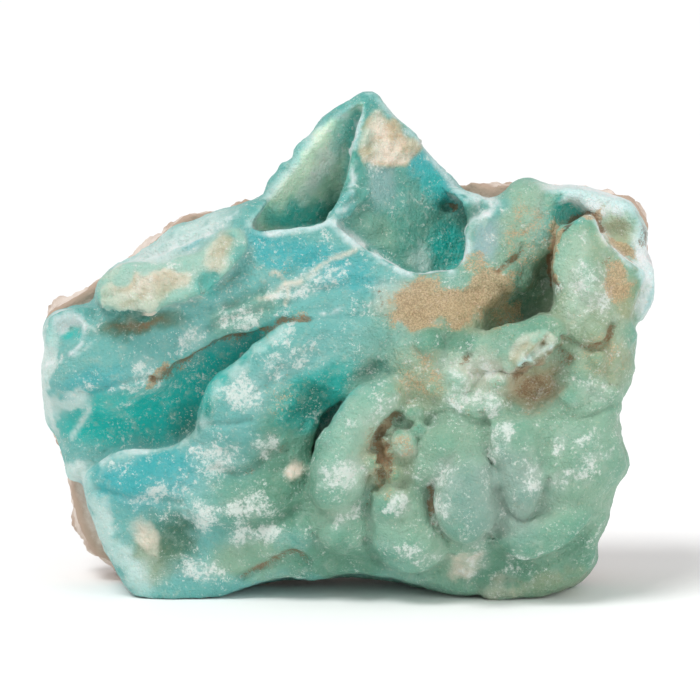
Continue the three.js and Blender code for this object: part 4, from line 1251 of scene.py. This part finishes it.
FROST: tuple[Mark, ...] = (
    Spot(-20, 41, 4, 4, 45), Spot(-27, 28, 5, 3), Spot(-46, 26.6, 4, 1.4, 15, 0.7),
    Spot(-38, 20.6, 7, 1.2, 8), Spot(-45, 38.6, 4, 1.4, 15, 0.6), Spot(-40, 42.6, 6, 1.6, 5, 0.8),
    Spot(-29, 17, 4, 3), Spot(-20, 19, 6, 3), Spot(-18, 13, 5, 2.4), Spot(-29, 6, 5, 2),
    Spot(-1.5, 24.6, 4.4, 2.6), Spot(9, 39, 1.4, 1.6), Spot(9, 19.5, 2.4, 2.4),
    Spot(13, 9.6, 6, 2, -15, 0.7), Spot(1, 17.6, 2.2, 2), Spot(-2.4, 15.6, 2, 2),
    Spot(26.8, 38.4, 3.4, 2.4), Spot(20, 39.6, 3, 2.4), Spot(29.6, 30.4, 2.4, 2.4),
    Spot(35.4, 24.6, 2.6, 2.6, 0, 0.8), Spot(42, 23.6, 3.4, 2, 25), Spot(48, 28, 3, 1.6, 10),
    Spot(40.6, 30.6, 1.6, 2.2), Spot(19, 24, 2.4, 3), Spot(18, 19, 1.6, 2.4),
    Spot(24, 7.4, 4, 2, 35, 0.8), Spot(34, 7.6, 3, 1.2), Spot(47, 61, 4.4, 4.6),
    Spot(45.4, 65.6, 1.6, 1.8), Spot(24, 45, 6, 3), Spot(38, 61.6, 2, 1.6), Spot(-8, 62.5, 8, 2, 15, 0.9),
    Spot(-21, 56, 5, 2, 20, 0.8), Spot(-40, 45.6, 3, 2), Spot(-31, 51.5, 3, 2.4),
    Spot(-12, 47, 8, 2.4, 35, 0.7), Spot(-17, 31, 3.6, 2.4), Spot(48, 41, 3, 2, 0, 0.9),
    Spot(30.4, 59.6, 2.4, 1.4, 0, 0.5), Spot(-33, 23, 6, 3, 0, 0.6), Spot(-14, 52, 4, 1.4, 35, 0.8),
    Spot(30, 33, 3, 2), Spot(5, 37, 5, 2, 40, 0.5), Spot(44, 32, 4, 2, 0, 0.6),
)


DRAWN = 0.35  # how far the edge of a stroke or a patch wanders, where a spot's wanders by 1
WAVE = 8.0  # sizes in mm of the forms in the crust's fine relief
RIPPLE = 4.5
BEAD = 3.2
GRIT = 1.8


@dataclass
class CrustCoat:
    """For each vertex of the crust: its fine relief in mm, its colour and its material's masks, one of them
    for painted shade.
    """

    relief: np.ndarray
    tint: np.ndarray
    frost: np.ndarray
    sand: np.ndarray
    dirt: np.ndarray
    # painted shade in creases and hollows
    hollow: np.ndarray

    @classmethod
    def of(cls, points: np.ndarray, normals: np.ndarray, crest: np.ndarray,
           depth: np.ndarray) -> "CrustCoat":
        """Works the coat out.

        Args:
            points: Vertices in mm.
            normals: Outward unit normals.
            crest: Positive in creases and negative on narrow ridges.
            depth: The same over a wide reach.

        Returns:
            The coat.
        """
        y = points[:, 1]
        x, z = PICTURE.across(points[:, 0], y), PICTURE.up(y, points[:, 2])
        waves, other = texture(points, WAVE, "waves"), texture(points, RIPPLE, "waves", 8.0)
        fine = texture(points, GRIT, "waves", 3.0)
        cells = texture(points, BEAD, "cells", 5.0)
        wx, wz = x + 1.6 * waves + 0.7 * fine, z + 1.6 * other + 0.7 * fine
        front = smooth(normals[:, 1], 0.35, -0.1)

        def covered(mark: Mark, loose: float = 1.0) -> np.ndarray:
            """How much a mark covers each vertex.

            Args:
                mark: The mark.
                loose: How far its edge wanders, 0 for an exact one.

            Returns:
                One share for each vertex.
            """
            near, far = mark.depths
            place = mark.cover(x + loose * (wx - x), z + loose * (wz - z))
            return place * smooth(y, near - 1, near) * smooth(y, far + 1, far)

        def most(marks: tuple[Mark, ...]) -> np.ndarray:
            """The strongest of the marks at each vertex that faces the front."""
            return np.maximum.reduce([covered(mark) for mark in marks]) * front

        cut = sum(mark.depth * mark.cover(x, z) for mark in CREASES) * front
        swell = sum(mark.dome(x, z) for mark in BUMPS) * front
        dirty = np.maximum.reduce([mark.dirt * mark.cover(x + 0.5 * fine, z + 0.5 * other)
                                   for mark in CREASES])
        crease, ridge_mask = smooth(crest, 0.05, 0.5), smooth(crest, -0.1, -0.5)
        cavity = smooth(depth, 0.2, 1.8)
        sand, dirt, frost = most(SAND), np.maximum(most(DIRT), dirty * front), most(FROST)
        scar = most(tuple(mark for tint, mark in PAINT if tint is Tint.CREAM))
        calm = 1 - 0.8 * cavity
        # lit pocket floors get no painted shade
        lit = 1 - np.maximum.reduce([covered(mark) for mark in LIGHT_FLOORS])
        relief = (swell - cut + 0.30 * (cells - 0.55) * calm + 0.30 * waves + 0.28 * other * calm
                  + fine * (0.12 + 0.25 * sand + 0.16 * frost) + scar * (0.6 * fine + 1.0 * np.abs(other)))
        tint = np.tile(np.array(linear(*Tint.TURQUOISE.value)[:3]), (len(points), 1))
        for colour, mark in PAINT:
            loose = 1.0 if isinstance(mark, Spot) else DRAWN
            share = (covered(mark, loose) * smooth(normals[:, 1], 0.8, 0.3))[:, None]
            if isinstance(mark, Stroke):
                share = share * np.clip(0.85 + 1.6 * other + 0.8 * fine, 0.0, 1.0)[:, None]
            tint += (np.array(linear(*colour.value)[:3]) - tint) * share
        frost = np.maximum(frost, 0.4 * ridge_mask)
        dirt = np.maximum(dirt, 0.25 * crease)
        # painted shade: the hollow mask darkens creases and wide hollows, except on lit pocket floors
        return cls(relief, tint, frost, sand, dirt, np.maximum(0.65 * cavity, 0.75 * crease) * lit)


# The host rock

ROCK_OUTLINE = (
    (-30, 0.5), (-40, 3), (-44.3, 4.6), (-46.2, 7.2), (-49.4, 9.1), (-51.6, 11.8), (-53.7, 16.5),
    (-54.6, 21.6), (-54.8, 25), (-57, 33), (-58.6, 42), (-58.8, 47.3), (-59.6, 53), (-59.1, 55.8),
    (-57.2, 57.6), (-53.8, 59.4), (-48.9, 62.4), (-43.2, 66.4), (-40.3, 68.6), (-36.6, 71.7),
    (-33.8, 73.8), (-30.9, 75.6), (-26, 76.2), (-21.5, 77.2), (-14, 78), (0, 80), (12, 81), (21, 81.2),
    (30, 81.3), (38, 81.0), (43.2, 80.9), (49, 80), (54.1, 78.6), (56.2, 76.5), (58, 73.7), (57.4, 71.2),
    (58, 68.9), (57.7, 66.6), (58.8, 64), (55, 56), (53, 48), (50, 38), (49, 26), (46, 12), (38, 3),
    (30, 1), (20, 3), (8, 6), (-6, 6.5), (-14, 4.6), (-22, 1.6),
)


@dataclass
class HostRock:
    """The rough brown rock that the crust grew on."""

    cell: float = 0.85
    low: Place = (-64, -1, -3)
    high: Place = (64, 32, 92)
    front: float = -2.0
    back: float = 24.0
    rim: float = 8.0
    seam: Seam = field(default_factory=Seam)

    def build(self) -> bpy.types.Object:
        """Meshes the rock and roughens it, and stores a mask of its hollows for painted shade.

        Returns:
            The piece.
        """
        form = Sculpture(self.low, self.high, self.cell)
        form.apply([
            *grow(1, Sheet(ROCK_OUTLINE, self.front, self.rim, back=self.back)),
            *grow(4, lobe(-24, 12, 13, 11, 9, 11), lobe(27, 12, 13, 12, 9, 11),
                  lobe(5, 17, 48, 40, 11, 30)),
            *hollow(5, lobe(-44, 26, 33, 12, 7, 16), lobe(30, 30, 65, 18, 8, 14),
                    lobe(2, 12, 2, 14, 20, 7)),
        ])
        x, y, z = form.everywhere()
        form.values = (form.values
                       + 0.9 * np.sin(0.31 * x + 1.3 * np.sin(0.27 * z)) * np.cos(0.29 * z + 0.4 * y)
                       * smooth(y, 8.0, 16.0))
        form.values = soft_max(form.values, self.seam.at(x, z) + self.seam.gap - y, 0.5)
        form.values = soft_max(form.values, FOOT - z, 0.5)
        points, quads = form.polygons()
        relief = (0.8 * texture(points, 6.0, "waves") + 0.5 * texture(points, 1.8, "waves", 4.0)
                  + 0.6 * (texture(points, 7.0, "cells", 2.0) - 0.5))
        away = smooth(points[:, 1] - self.seam.at(points[:, 0], points[:, 2]), 0.4, 2.5)
        normals = vertex_normals(points, quads)
        obj = piece_from("matrix_rock_looks", points + normals * (relief * away)[:, None], quads)
        # painted shade: a mask of the rock's hollows, which its material darkens
        store(obj, "hollow", smooth(form.sample(form.blurred(4.0, 4.0), points), 0.3, 1.4))
        return obj


# Meshes

def vertex_normals(points: np.ndarray, quads: np.ndarray) -> np.ndarray:
    """Outward unit normals of the vertices, from the diagonals of their faces.

    Args:
        points: Vertices.
        quads: Four vertex numbers for each face.

    Returns:
        One unit vector for each vertex.
    """
    a, b, c, d = (points[quads[:, i]] for i in range(4))
    across = np.cross(c - a, d - b)
    total = np.zeros_like(points)
    for i in range(4):
        np.add.at(total, quads[:, i], across)
    return total / np.maximum(np.linalg.norm(total, axis=1, keepdims=True), 1e-9)


def piece_from(name: str, points: np.ndarray, quads: np.ndarray) -> bpy.types.Object:
    """Makes a smooth-shaded object in metres, held inside the solids' box.

    Args:
        name: The object's name.
        points: Vertices in mm.
        quads: Faces.

    Returns:
        The linked object.
    """
    low, high = (np.array(corner) for corner in CAD_BOX)
    places = np.clip(points * MM, low, high)
    mesh = bpy.data.meshes.new(name)
    mesh.from_pydata(places.tolist(), [], quads.tolist())
    mesh.update()
    bm = bmesh.new()
    bm.from_mesh(mesh)
    bmesh.ops.triangulate(bm, faces=bm.faces[:])
    bm.to_mesh(mesh)
    bm.free()
    mesh.shade_smooth()
    obj = bpy.data.objects.new(name, mesh)
    bpy.context.scene.collection.objects.link(obj)
    LOG.info("%s: %d triangles", name, len(mesh.polygons))
    return obj


def store(obj: bpy.types.Object, name: str, values: np.ndarray) -> None:
    """Keeps one value for each vertex as an attribute."""
    attribute = obj.data.attributes.new(name, "FLOAT", "POINT")
    attribute.data.foreach_set("value", np.clip(values, 0.0, 1.0).astype(np.float32))


def store_colour(obj: bpy.types.Object, name: str, colours: np.ndarray) -> None:
    """Keeps one linear colour for each vertex as an attribute.

    Args:
        obj: The object.
        name: The attribute's name.
        colours: Red, green and blue for each vertex.
    """
    attribute = obj.data.attributes.new(name, "FLOAT_COLOR", "POINT")
    opaque = np.ones((len(colours), 1))
    values = np.hstack([np.clip(colours, 0.0, 1.0), opaque]).astype(np.float32)
    attribute.data.foreach_set("color", values.ravel())


# Finishes

EXPOSURE = 0.9  # what a material holds of a colour as seen, since the white studio is brighter than 1


def linear(red: int, green: int, blue: int) -> tuple[float, float, float, float]:
    """What a material holds of a colour as seen.

    Args:
        red: From 0 to 255, as the others.
        green: Green.
        blue: Blue.

    Returns:
        Linear red, green, blue and an alpha of 1.
    """

    def one(value: int) -> float:
        """One channel."""
        v = value / 255
        return EXPOSURE * (v / 12.92 if v <= 0.04045 else ((v + 0.055) / 1.055) ** 2.4)
    return one(red), one(green), one(blue), 1.0


class Nodes:
    """Short calls that add nodes to a tree."""

    def __init__(self, tree: bpy.types.NodeTree) -> None:
        """Keeps the tree."""
        self.tree = tree

    def feed(self, socket: bpy.types.NodeSocket, value: object) -> None:
        """Links a socket to a value, or sets it.

        Args:
            socket: The input to feed.
            value: A socket to link, or a plain value.
        """
        if isinstance(value, bpy.types.NodeSocket):
            self.tree.links.new(value, socket)
        else:
            socket.default_value = value

    def coordinates(self) -> bpy.types.NodeSocket:
        """Object coordinates."""
        return self.tree.nodes.new("ShaderNodeTexCoord").outputs["Object"]

    def attribute(self, name: str, output: str = "Fac") -> bpy.types.NodeSocket:
        """A mask or a colour of the mesh.

        Args:
            name: The attribute's name.
            output: Fac for a mask and Color for a colour.

        Returns:
            The socket that holds it.
        """
        node = self.tree.nodes.new("ShaderNodeAttribute")
        node.attribute_name = name
        return node.outputs[output]

    def noise(self, size: float, detail: float = 4.0, rough: float = 0.6) -> bpy.types.NodeSocket:
        """Fractal noise.

        Args:
            size: Rough size of a feature in mm.
            detail: How many finer layers it has.
            rough: How strong the finer layers are.

        Returns:
            Values round 0.5.
        """
        node = self.tree.nodes.new("ShaderNodeTexNoise")
        self.feed(node.inputs["Vector"], self.coordinates())
        node.inputs["Scale"].default_value = 1.0 / (size * MM)
        node.inputs["Detail"].default_value = detail
        node.inputs["Roughness"].default_value = rough
        return node.outputs["Fac"]

    def math(self, operation: str, a: object, b: object = 0.0,
             clamp: bool = False) -> bpy.types.NodeSocket:
        """One sum on two numbers.

        Args:
            operation: Blender's name for the sum.
            a: First number or socket.
            b: Second number or socket.
            clamp: Whether the result is held between 0 and 1.

        Returns:
            The result.
        """
        node = self.tree.nodes.new("ShaderNodeMath")
        node.operation = operation
        node.use_clamp = clamp
        self.feed(node.inputs[0], a)
        self.feed(node.inputs[1], b)
        return node.outputs[0]

    def scaled(self, value: object, amount: float) -> bpy.types.NodeSocket:
        """A value times an amount."""
        return self.math("MULTIPLY", value, amount)

    def swing(self, value: object, amount: float) -> bpy.types.NodeSocket:
        """Noise moved to swing round 0, times an amount."""
        return self.scaled(self.math("SUBTRACT", value, 0.5), amount)

    def step(self, value: object, low: float, high: float) -> bpy.types.NodeSocket:
        """Smooth step from 0 to 1.

        Args:
            value: What is stepped.
            low: Where the step begins.
            high: Where it ends.

        Returns:
            A share from 0 to 1.
        """
        node = self.tree.nodes.new("ShaderNodeMapRange")
        node.interpolation_type = "SMOOTHSTEP"
        self.feed(node.inputs["Value"], value)
        node.inputs["From Min"].default_value = low
        node.inputs["From Max"].default_value = high
        return node.outputs["Result"]

    def mix(self, factor: object, a: object, b: object, blend: str = "MIX") -> bpy.types.NodeSocket:
        """A mix of two colours.

        Args:
            factor: 0 for all of a, 1 for all of b or of its blend with a.
            a: First colour.
            b: Second colour.
            blend: How b is laid over a.

        Returns:
            The mixed colour.
        """
        node = self.tree.nodes.new("ShaderNodeMix")
        node.data_type = "RGBA"
        node.blend_type = blend
        self.feed(node.inputs["Factor"], factor)
        self.feed(node.inputs["A"], a)
        self.feed(node.inputs["B"], b)
        return node.outputs["Result"]

    def bump(self, height: object, depth: float, strength: float = 1.0) -> bpy.types.NodeSocket:
        """A normal from a height.

        Args:
            height: From 0 to 1.
            depth: What a height of 1 stands for, in mm.
            strength: How much of the bump is used.

        Returns:
            The bent normal.
        """
        node = self.tree.nodes.new("ShaderNodeBump")
        node.inputs["Strength"].default_value = strength
        node.inputs["Distance"].default_value = depth * MM
        self.feed(node.inputs["Height"], height)
        return node.outputs["Normal"]


def group_node(nodes: Nodes, group: bpy.types.NodeTree, **inputs: object) -> bpy.types.Node:
    """Adds a shared effect to a material.

    Args:
        nodes: The material's nodes.
        group: The effect.
        **inputs: What each of its inputs is fed.

    Returns:
        The node that holds the effect.
    """
    node = nodes.tree.nodes.new("ShaderNodeGroup")
    node.node_tree = group
    for name, value in inputs.items():
        nodes.feed(node.inputs[name], value)
    return node


def new_group(name: str, inputs: tuple[str, ...],
              outputs: tuple[str, ...]) -> tuple[Nodes, bpy.types.Node, bpy.types.Node]:
    """An empty group of plain number sockets.

    Args:
        name: The group's name.
        inputs: Names of its inputs.
        outputs: Names of its outputs.

    Returns:
        Its nodes, its input node and its output node.
    """
    tree = bpy.data.node_groups.new(name, "ShaderNodeTree")
    for socket in inputs:
        tree.interface.new_socket(socket, in_out="INPUT", socket_type="NodeSocketFloat")
    for socket in outputs:
        tree.interface.new_socket(socket, in_out="OUTPUT", socket_type="NodeSocketFloat")
    return Nodes(tree), tree.nodes.new("NodeGroupInput"), tree.nodes.new("NodeGroupOutput")


@dataclass(frozen=True)
class CrystalSpeckle:
    """White crystals in drifts: Amount sets how much of the surface they take."""

    drift_size: float = 3.4
    drift_share: float = 0.85
    grain_size: float = 0.7
    grain_share: float = 0.5
    lift: float = 0.13  # how much an Amount of 1 adds to the noise
    edge: Span = (0.73, 0.89)

    def group(self) -> bpy.types.NodeTree:
        """Builds the group.

        Returns:
            The group.
        """
        nodes, given, result = new_group("crystal_speckle", ("Amount",), ("Mask",))
        drift = nodes.noise(self.drift_size, 6.0, 0.75)
        grains = nodes.noise(self.grain_size, 3.0, 0.75)
        both = nodes.math("ADD", nodes.scaled(drift, self.drift_share),
                          nodes.scaled(grains, self.grain_share))
        raised = nodes.math("ADD", both, nodes.scaled(given.outputs["Amount"], self.lift))
        nodes.feed(result.inputs["Mask"], nodes.step(raised, *self.edge))
        return nodes.tree


@dataclass(frozen=True)
class SandGrain:
    """Loose grains: Mask breaks the edge of Amount up, and Height stands for the grains."""

    grain_size: float = 0.34
    grain_swing: float = 1.2
    spread_size: float = 2.5
    spread_swing: float = 1.1
    edge: Span = (0.35, 0.75)

    def group(self) -> bpy.types.NodeTree:
        """Builds the group.

        Returns:
            The group.
        """
        nodes, given, result = new_group("sand_grain", ("Amount",), ("Mask", "Height"))
        grains = nodes.noise(self.grain_size, 2.0, 0.7)
        spread = nodes.noise(self.spread_size, 4.0, 0.65)
        level = nodes.math("ADD", given.outputs["Amount"], nodes.swing(spread, self.spread_swing))
        rough = nodes.math("ADD", level, nodes.swing(grains, self.grain_swing))
        nodes.feed(result.inputs["Mask"], nodes.step(rough, *self.edge))
        nodes.feed(result.inputs["Height"], grains)
        return nodes.tree


@dataclass(frozen=True)
class AragoniteFinish:
    """Waxy, slightly translucent turquoise to sea-green with white frosting, ochre sand, dirt and painted
    shade in hollows.
    """

    frost: Colour = (246, 252, 246)
    sand: Colour = (222, 190, 148)
    sand_dark: Colour = (178, 144, 104)
    brown: Colour = (150, 120, 84)
    # the dirt's brown darkened as painted shade, for dirt in hollows
    brown_in_shade: Colour = (84, 66, 48)
    freckle: Colour = (220, 212, 178)
    cloud: Colour = (206, 222, 208)
    shade: tuple[float, float, float, float] = (0.46, 0.82, 0.79, 1.0)  # painted shade: what a hollow leaves of the tint
    pepper: tuple[float, float, float, float] = (0.66, 0.80, 0.76, 1.0)  # what a fine dark grain leaves
    mottle_size: float = 6.0  # the noise's size in mm, then its edge and how much of it shows
    mottle_edge: Span = (0.42, 0.72)
    mottle_amount: float = 0.34
    cloud_size: float = 2.6
    cloud_edge: Span = (0.48, 0.76)
    cloud_amount: float = 0.4
    freckle_size: float = 0.7
    freckle_edge: Span = (0.54, 0.70)
    pepper_size: float = 1.3
    pepper_edge: Span = (0.5, 0.7)
    pepper_amount: float = 0.34
    drift_size: float = 3.6
    drift_edge: Span = (0.46, 0.66)
    fleck_size: float = 0.5
    fleck_edge: Span = (0.58, 0.66)
    fleck_amount: float = 0.7
    haze_amount: float = 0.14
    crystal_amount: float = 0.75
    sand_amount: float = 0.75
    dirt_amount: float = 0.8
    roughness: float = 0.48
    scatter: float = 0.35
    scatter_radius: tuple[float, float, float] = (0.6, 1.0, 0.95)
    scatter_depth: float = 2.5
    grain_size: float = 0.6
    swell_size: float = 2.4
    swell_share: float = 1.5
    bump_depth: float = 0.6

    def material(self) -> bpy.types.Material:
        """Builds the material.

        Returns:
            The material.
        """
        material = bpy.data.materials.new("aragonite")
        material.use_nodes = True
        nodes = Nodes(material.node_tree)
        shader = material.node_tree.nodes["Principled BSDF"]
        colour = self.powdered(nodes, self.frosted(nodes, self.body(nodes)))
        nodes.feed(shader.inputs["Base Color"], colour)
        shader.inputs["Roughness"].default_value = self.roughness
        shader.inputs["Subsurface Weight"].default_value = self.scatter
        shader.inputs["Subsurface Radius"].default_value = self.scatter_radius
        shader.inputs["Subsurface Scale"].default_value = self.scatter_depth * MM
        grain = nodes.noise(self.grain_size, 3.0, 0.7)
        swell = nodes.scaled(nodes.noise(self.swell_size, 4.0), self.swell_share)
        height = nodes.math("ADD", grain, swell)
        nodes.feed(shader.inputs["Normal"], nodes.bump(height, self.bump_depth))
        return material

    def body(self, nodes: Nodes) -> bpy.types.NodeSocket:
        """The crust's colour: its tint, darker and greener in hollows as painted shade, with clouds and fine
        grain.

        Args:
            nodes: The material's nodes.

        Returns:
            The colour.
        """
        tint = nodes.attribute("tint", "Color")
        # painted shade: the tint darkened in hollows and creases; the mottle adds random darker patches of
        # it
        dark = nodes.mix(1.0, tint, self.shade, "MULTIPLY")
        mottle = nodes.step(nodes.noise(self.mottle_size, 6.0, 0.65), *self.mottle_edge)
        mottle = nodes.scaled(mottle, self.mottle_amount)
        colour = nodes.mix(nodes.math("ADD", nodes.attribute("hollow"), mottle, True), tint, dark)
        cloud = nodes.step(nodes.noise(self.cloud_size, 5.0, 0.7), *self.cloud_edge)
        colour = nodes.mix(nodes.scaled(cloud, self.cloud_amount), colour, linear(*self.cloud))
        freckles = nodes.step(nodes.noise(self.freckle_size, 3.0, 0.75), *self.freckle_edge)
        amount = nodes.math("ADD", nodes.scaled(nodes.attribute("sand"), 0.5), 0.2)
        colour = nodes.mix(nodes.math("MULTIPLY", freckles, amount), colour, linear(*self.freckle))
        pepper = nodes.step(nodes.noise(self.pepper_size, 4.0, 0.75), *self.pepper_edge)
        peppered = nodes.mix(1.0, colour, self.pepper, "MULTIPLY")
        return nodes.mix(nodes.scaled(pepper, self.pepper_amount), colour, peppered)

    def frosted(self, nodes: Nodes, colour: bpy.types.NodeSocket) -> bpy.types.NodeSocket:
        """Lays white flecks, a thin haze and drifts of crystals over a colour.

        Args:
            nodes: The material's nodes.
            colour: What lies below.

        Returns:
            The colour with them.
        """
        drifts = nodes.step(nodes.noise(self.drift_size, 3.0, 0.7), *self.drift_edge)
        drifts = nodes.scaled(drifts, self.fleck_amount)
        flecks = nodes.step(nodes.noise(self.fleck_size, 2.0, 0.8), *self.fleck_edge)
        colour = nodes.mix(nodes.math("MULTIPLY", flecks, drifts), colour, linear(*self.frost))
        haze = nodes.scaled(nodes.attribute("frost"), self.haze_amount)
        colour = nodes.mix(haze, colour, linear(*self.frost))
        speckle = group_node(nodes, CrystalSpeckle().group(), Amount=nodes.attribute("frost"))
        crystals = nodes.scaled(speckle.outputs["Mask"], self.crystal_amount)
        return nodes.mix(crystals, colour, linear(*self.frost))

    def powdered(self, nodes: Nodes, colour: bpy.types.NodeSocket) -> bpy.types.NodeSocket:
        """Lays ochre sand and brown dirt over a colour, the dirt darker in hollows as painted shade.

        Args:
            nodes: The material's nodes.
            colour: What lies below.

        Returns:
            The colour with them.
        """
        grains = SandGrain().group()
        sand = group_node(nodes, grains, Amount=nodes.attribute("sand"))
        lit_grains = nodes.step(sand.outputs["Height"], 0.4, 0.62)
        sandy = nodes.mix(lit_grains, linear(*self.sand_dark), linear(*self.sand))
        colour = nodes.mix(nodes.scaled(sand.outputs["Mask"], self.sand_amount), colour, sandy)
        dirt = group_node(nodes, grains, Amount=nodes.attribute("dirt"))
        # painted shade: dirt in hollows turns to the darker brown
        deep = nodes.math("MULTIPLY", nodes.attribute("hollow"), 1.6, True)
        brown = nodes.mix(deep, linear(*self.brown), linear(*self.brown_in_shade))
        return nodes.mix(nodes.scaled(dirt.outputs["Mask"], self.dirt_amount), colour, brown)


@dataclass(frozen=True)
class RockFinish:
    """Dull pinkish-brown host rock, darker in its hollows as painted shade."""

    light: Colour = (250, 236, 224)
    dark: Colour = (204, 178, 158)
    roughness: float = 0.88
    mottle_size: float = 4.0
    mottle_edge: Span = (0.35, 0.85)
    grain_size: float = 0.7
    swell_size: float = 3.0
    bump_depth: float = 0.5
    bump_strength: float = 0.9

    def material(self) -> bpy.types.Material:
        """Builds the material.

        Returns:
            The material.
        """
        material = bpy.data.materials.new("matrix")
        material.use_nodes = True
        nodes = Nodes(material.node_tree)
        shader = material.node_tree.nodes["Principled BSDF"]
        patches = nodes.noise(self.mottle_size, 6.0, 0.7)
        # painted shade: the hollow mask pushes the rock towards its dark colour
        mottle = nodes.math("ADD", patches, nodes.scaled(nodes.attribute("hollow"), 0.5))
        colour = nodes.mix(nodes.step(mottle, *self.mottle_edge), linear(*self.light), linear(*self.dark))
        nodes.feed(shader.inputs["Base Color"], colour)
        shader.inputs["Roughness"].default_value = self.roughness
        height = nodes.math("ADD", nodes.noise(self.grain_size, 4.0, 0.8), nodes.noise(self.swell_size, 5.0))
        nodes.feed(shader.inputs["Normal"], nodes.bump(height, self.bump_depth, self.bump_strength))
        return material


# The studio

@dataclass(frozen=True)
class Studio:
    """A pale floor, a soft top light from the left, a weaker fill and the photograph's camera."""

    width: float = 136.4
    floor_size: float = 20000.0
    surround: float = 0.6
    sun_strength: float = 1.78
    sun_width: float = 24.0
    sun_place: Place = (-220.0, -260.0, 620.0)
    fill_place: Place = (420.0, -420.0, 220.0)
    fill_size: float = 500.0
    fill_power: float = 1.0
    floor_colour: tuple[float, float, float, float] = (0.97, 0.97, 0.97, 1.0)
    floor_roughness: float = 0.9

    def floor(self) -> bpy.types.Object:
        """A white floor that runs out of the picture.

        Returns:
            The floor.
        """
        bm = bmesh.new()
        bmesh.ops.create_grid(bm, x_segments=1, y_segments=1, size=self.floor_size * MM / 2)
        mesh = bpy.data.meshes.new("floor")
        bm.to_mesh(mesh)
        bm.free()
        material = bpy.data.materials.new("floor")
        material.use_nodes = True
        shader = material.node_tree.nodes["Principled BSDF"]
        shader.inputs["Base Color"].default_value = self.floor_colour
        shader.inputs["Roughness"].default_value = self.floor_roughness
        mesh.materials.append(material)
        obj = bpy.data.objects.new("floor", mesh)
        bpy.context.scene.collection.objects.link(obj)
        return obj

    def light(self, name: str, place: Place, size: float, power: float) -> None:
        """A square area light that looks at the specimen.

        Args:
            name: The light's name.
            place: Where it hangs, in mm.
            size: Edge in mm.
            power: Watts.
        """
        data = bpy.data.lights.new(name, "AREA")
        data.size = size * MM
        data.energy = power
        obj = bpy.data.objects.new(name, data)
        bpy.context.scene.collection.objects.link(obj)
        obj.location = Vector(place) * MM
        obj.rotation_euler = (Vector(PICTURE.aim) * MM - obj.location).to_track_quat("-Z", "Y").to_euler()

    def sun(self, place: Place) -> None:
        """The key light: a wide sun, so that the floor is as bright far away as near the specimen.

        Args:
            place: A place in mm from which it shines on the specimen.
        """
        data = bpy.data.lights.new("key", "SUN")
        data.energy = self.sun_strength
        data.angle = math.radians(self.sun_width)
        obj = bpy.data.objects.new("key", data)
        bpy.context.scene.collection.objects.link(obj)
        obj.rotation_euler = (Vector(PICTURE.aim) - Vector(place)).to_track_quat("-Z", "Y").to_euler()

    def camera(self) -> None:
        """The camera, level with the photograph's view."""
        data = bpy.data.cameras.new("camera")
        data.sensor_width = 36.0
        data.lens = data.sensor_width * PICTURE.distance / self.width
        data.clip_end = 20.0
        obj = bpy.data.objects.new("camera", data)
        bpy.context.scene.collection.objects.link(obj)
        angle = math.radians(PICTURE.elevation)
        away = Vector((0.0, -math.cos(angle), math.sin(angle)))
        obj.location = (Vector(PICTURE.aim) + away * PICTURE.distance) * MM
        obj.rotation_euler = (-away).to_track_quat("-Z", "Y").to_euler()
        bpy.context.scene.camera = obj

    def world(self) -> None:
        """An even white surround."""
        world = bpy.data.worlds.new("surround")
        bpy.context.scene.world = world
        world.use_nodes = True
        background = world.node_tree.nodes["Background"]
        background.inputs["Color"].default_value = (1.0, 1.0, 1.0, 1.0)
        background.inputs["Strength"].default_value = self.surround
        bpy.context.scene.view_settings.view_transform = "Standard"

    def build(self) -> bpy.types.Object:
        """Sets the whole studio up.

        Returns:
            The floor.
        """
        self.camera()
        self.world()
        self.sun(self.sun_place)
        self.light("fill", self.fill_place, self.fill_size, self.fill_power)
        return self.floor()


def main() -> None:
    """Builds the studio, the crust and the host rock, in that order."""
    logging.basicConfig(level=logging.INFO, format="%(message)s")
    Studio().build()
    LOG.info("studio ready")
    for maker, finish, node, slot in ((Crust(), AragoniteFinish(), "aragonite_crust", "aragonite"),
                                      (HostRock(), RockFinish(), "matrix_rock", "matrix")):
        piece = maker.build()
        piece.data.materials.append(finish.material())
        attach(piece, "root")
        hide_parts(node)
        LOG.info("%s dressed", piece.name)


if __name__ == "__main__":
    main()
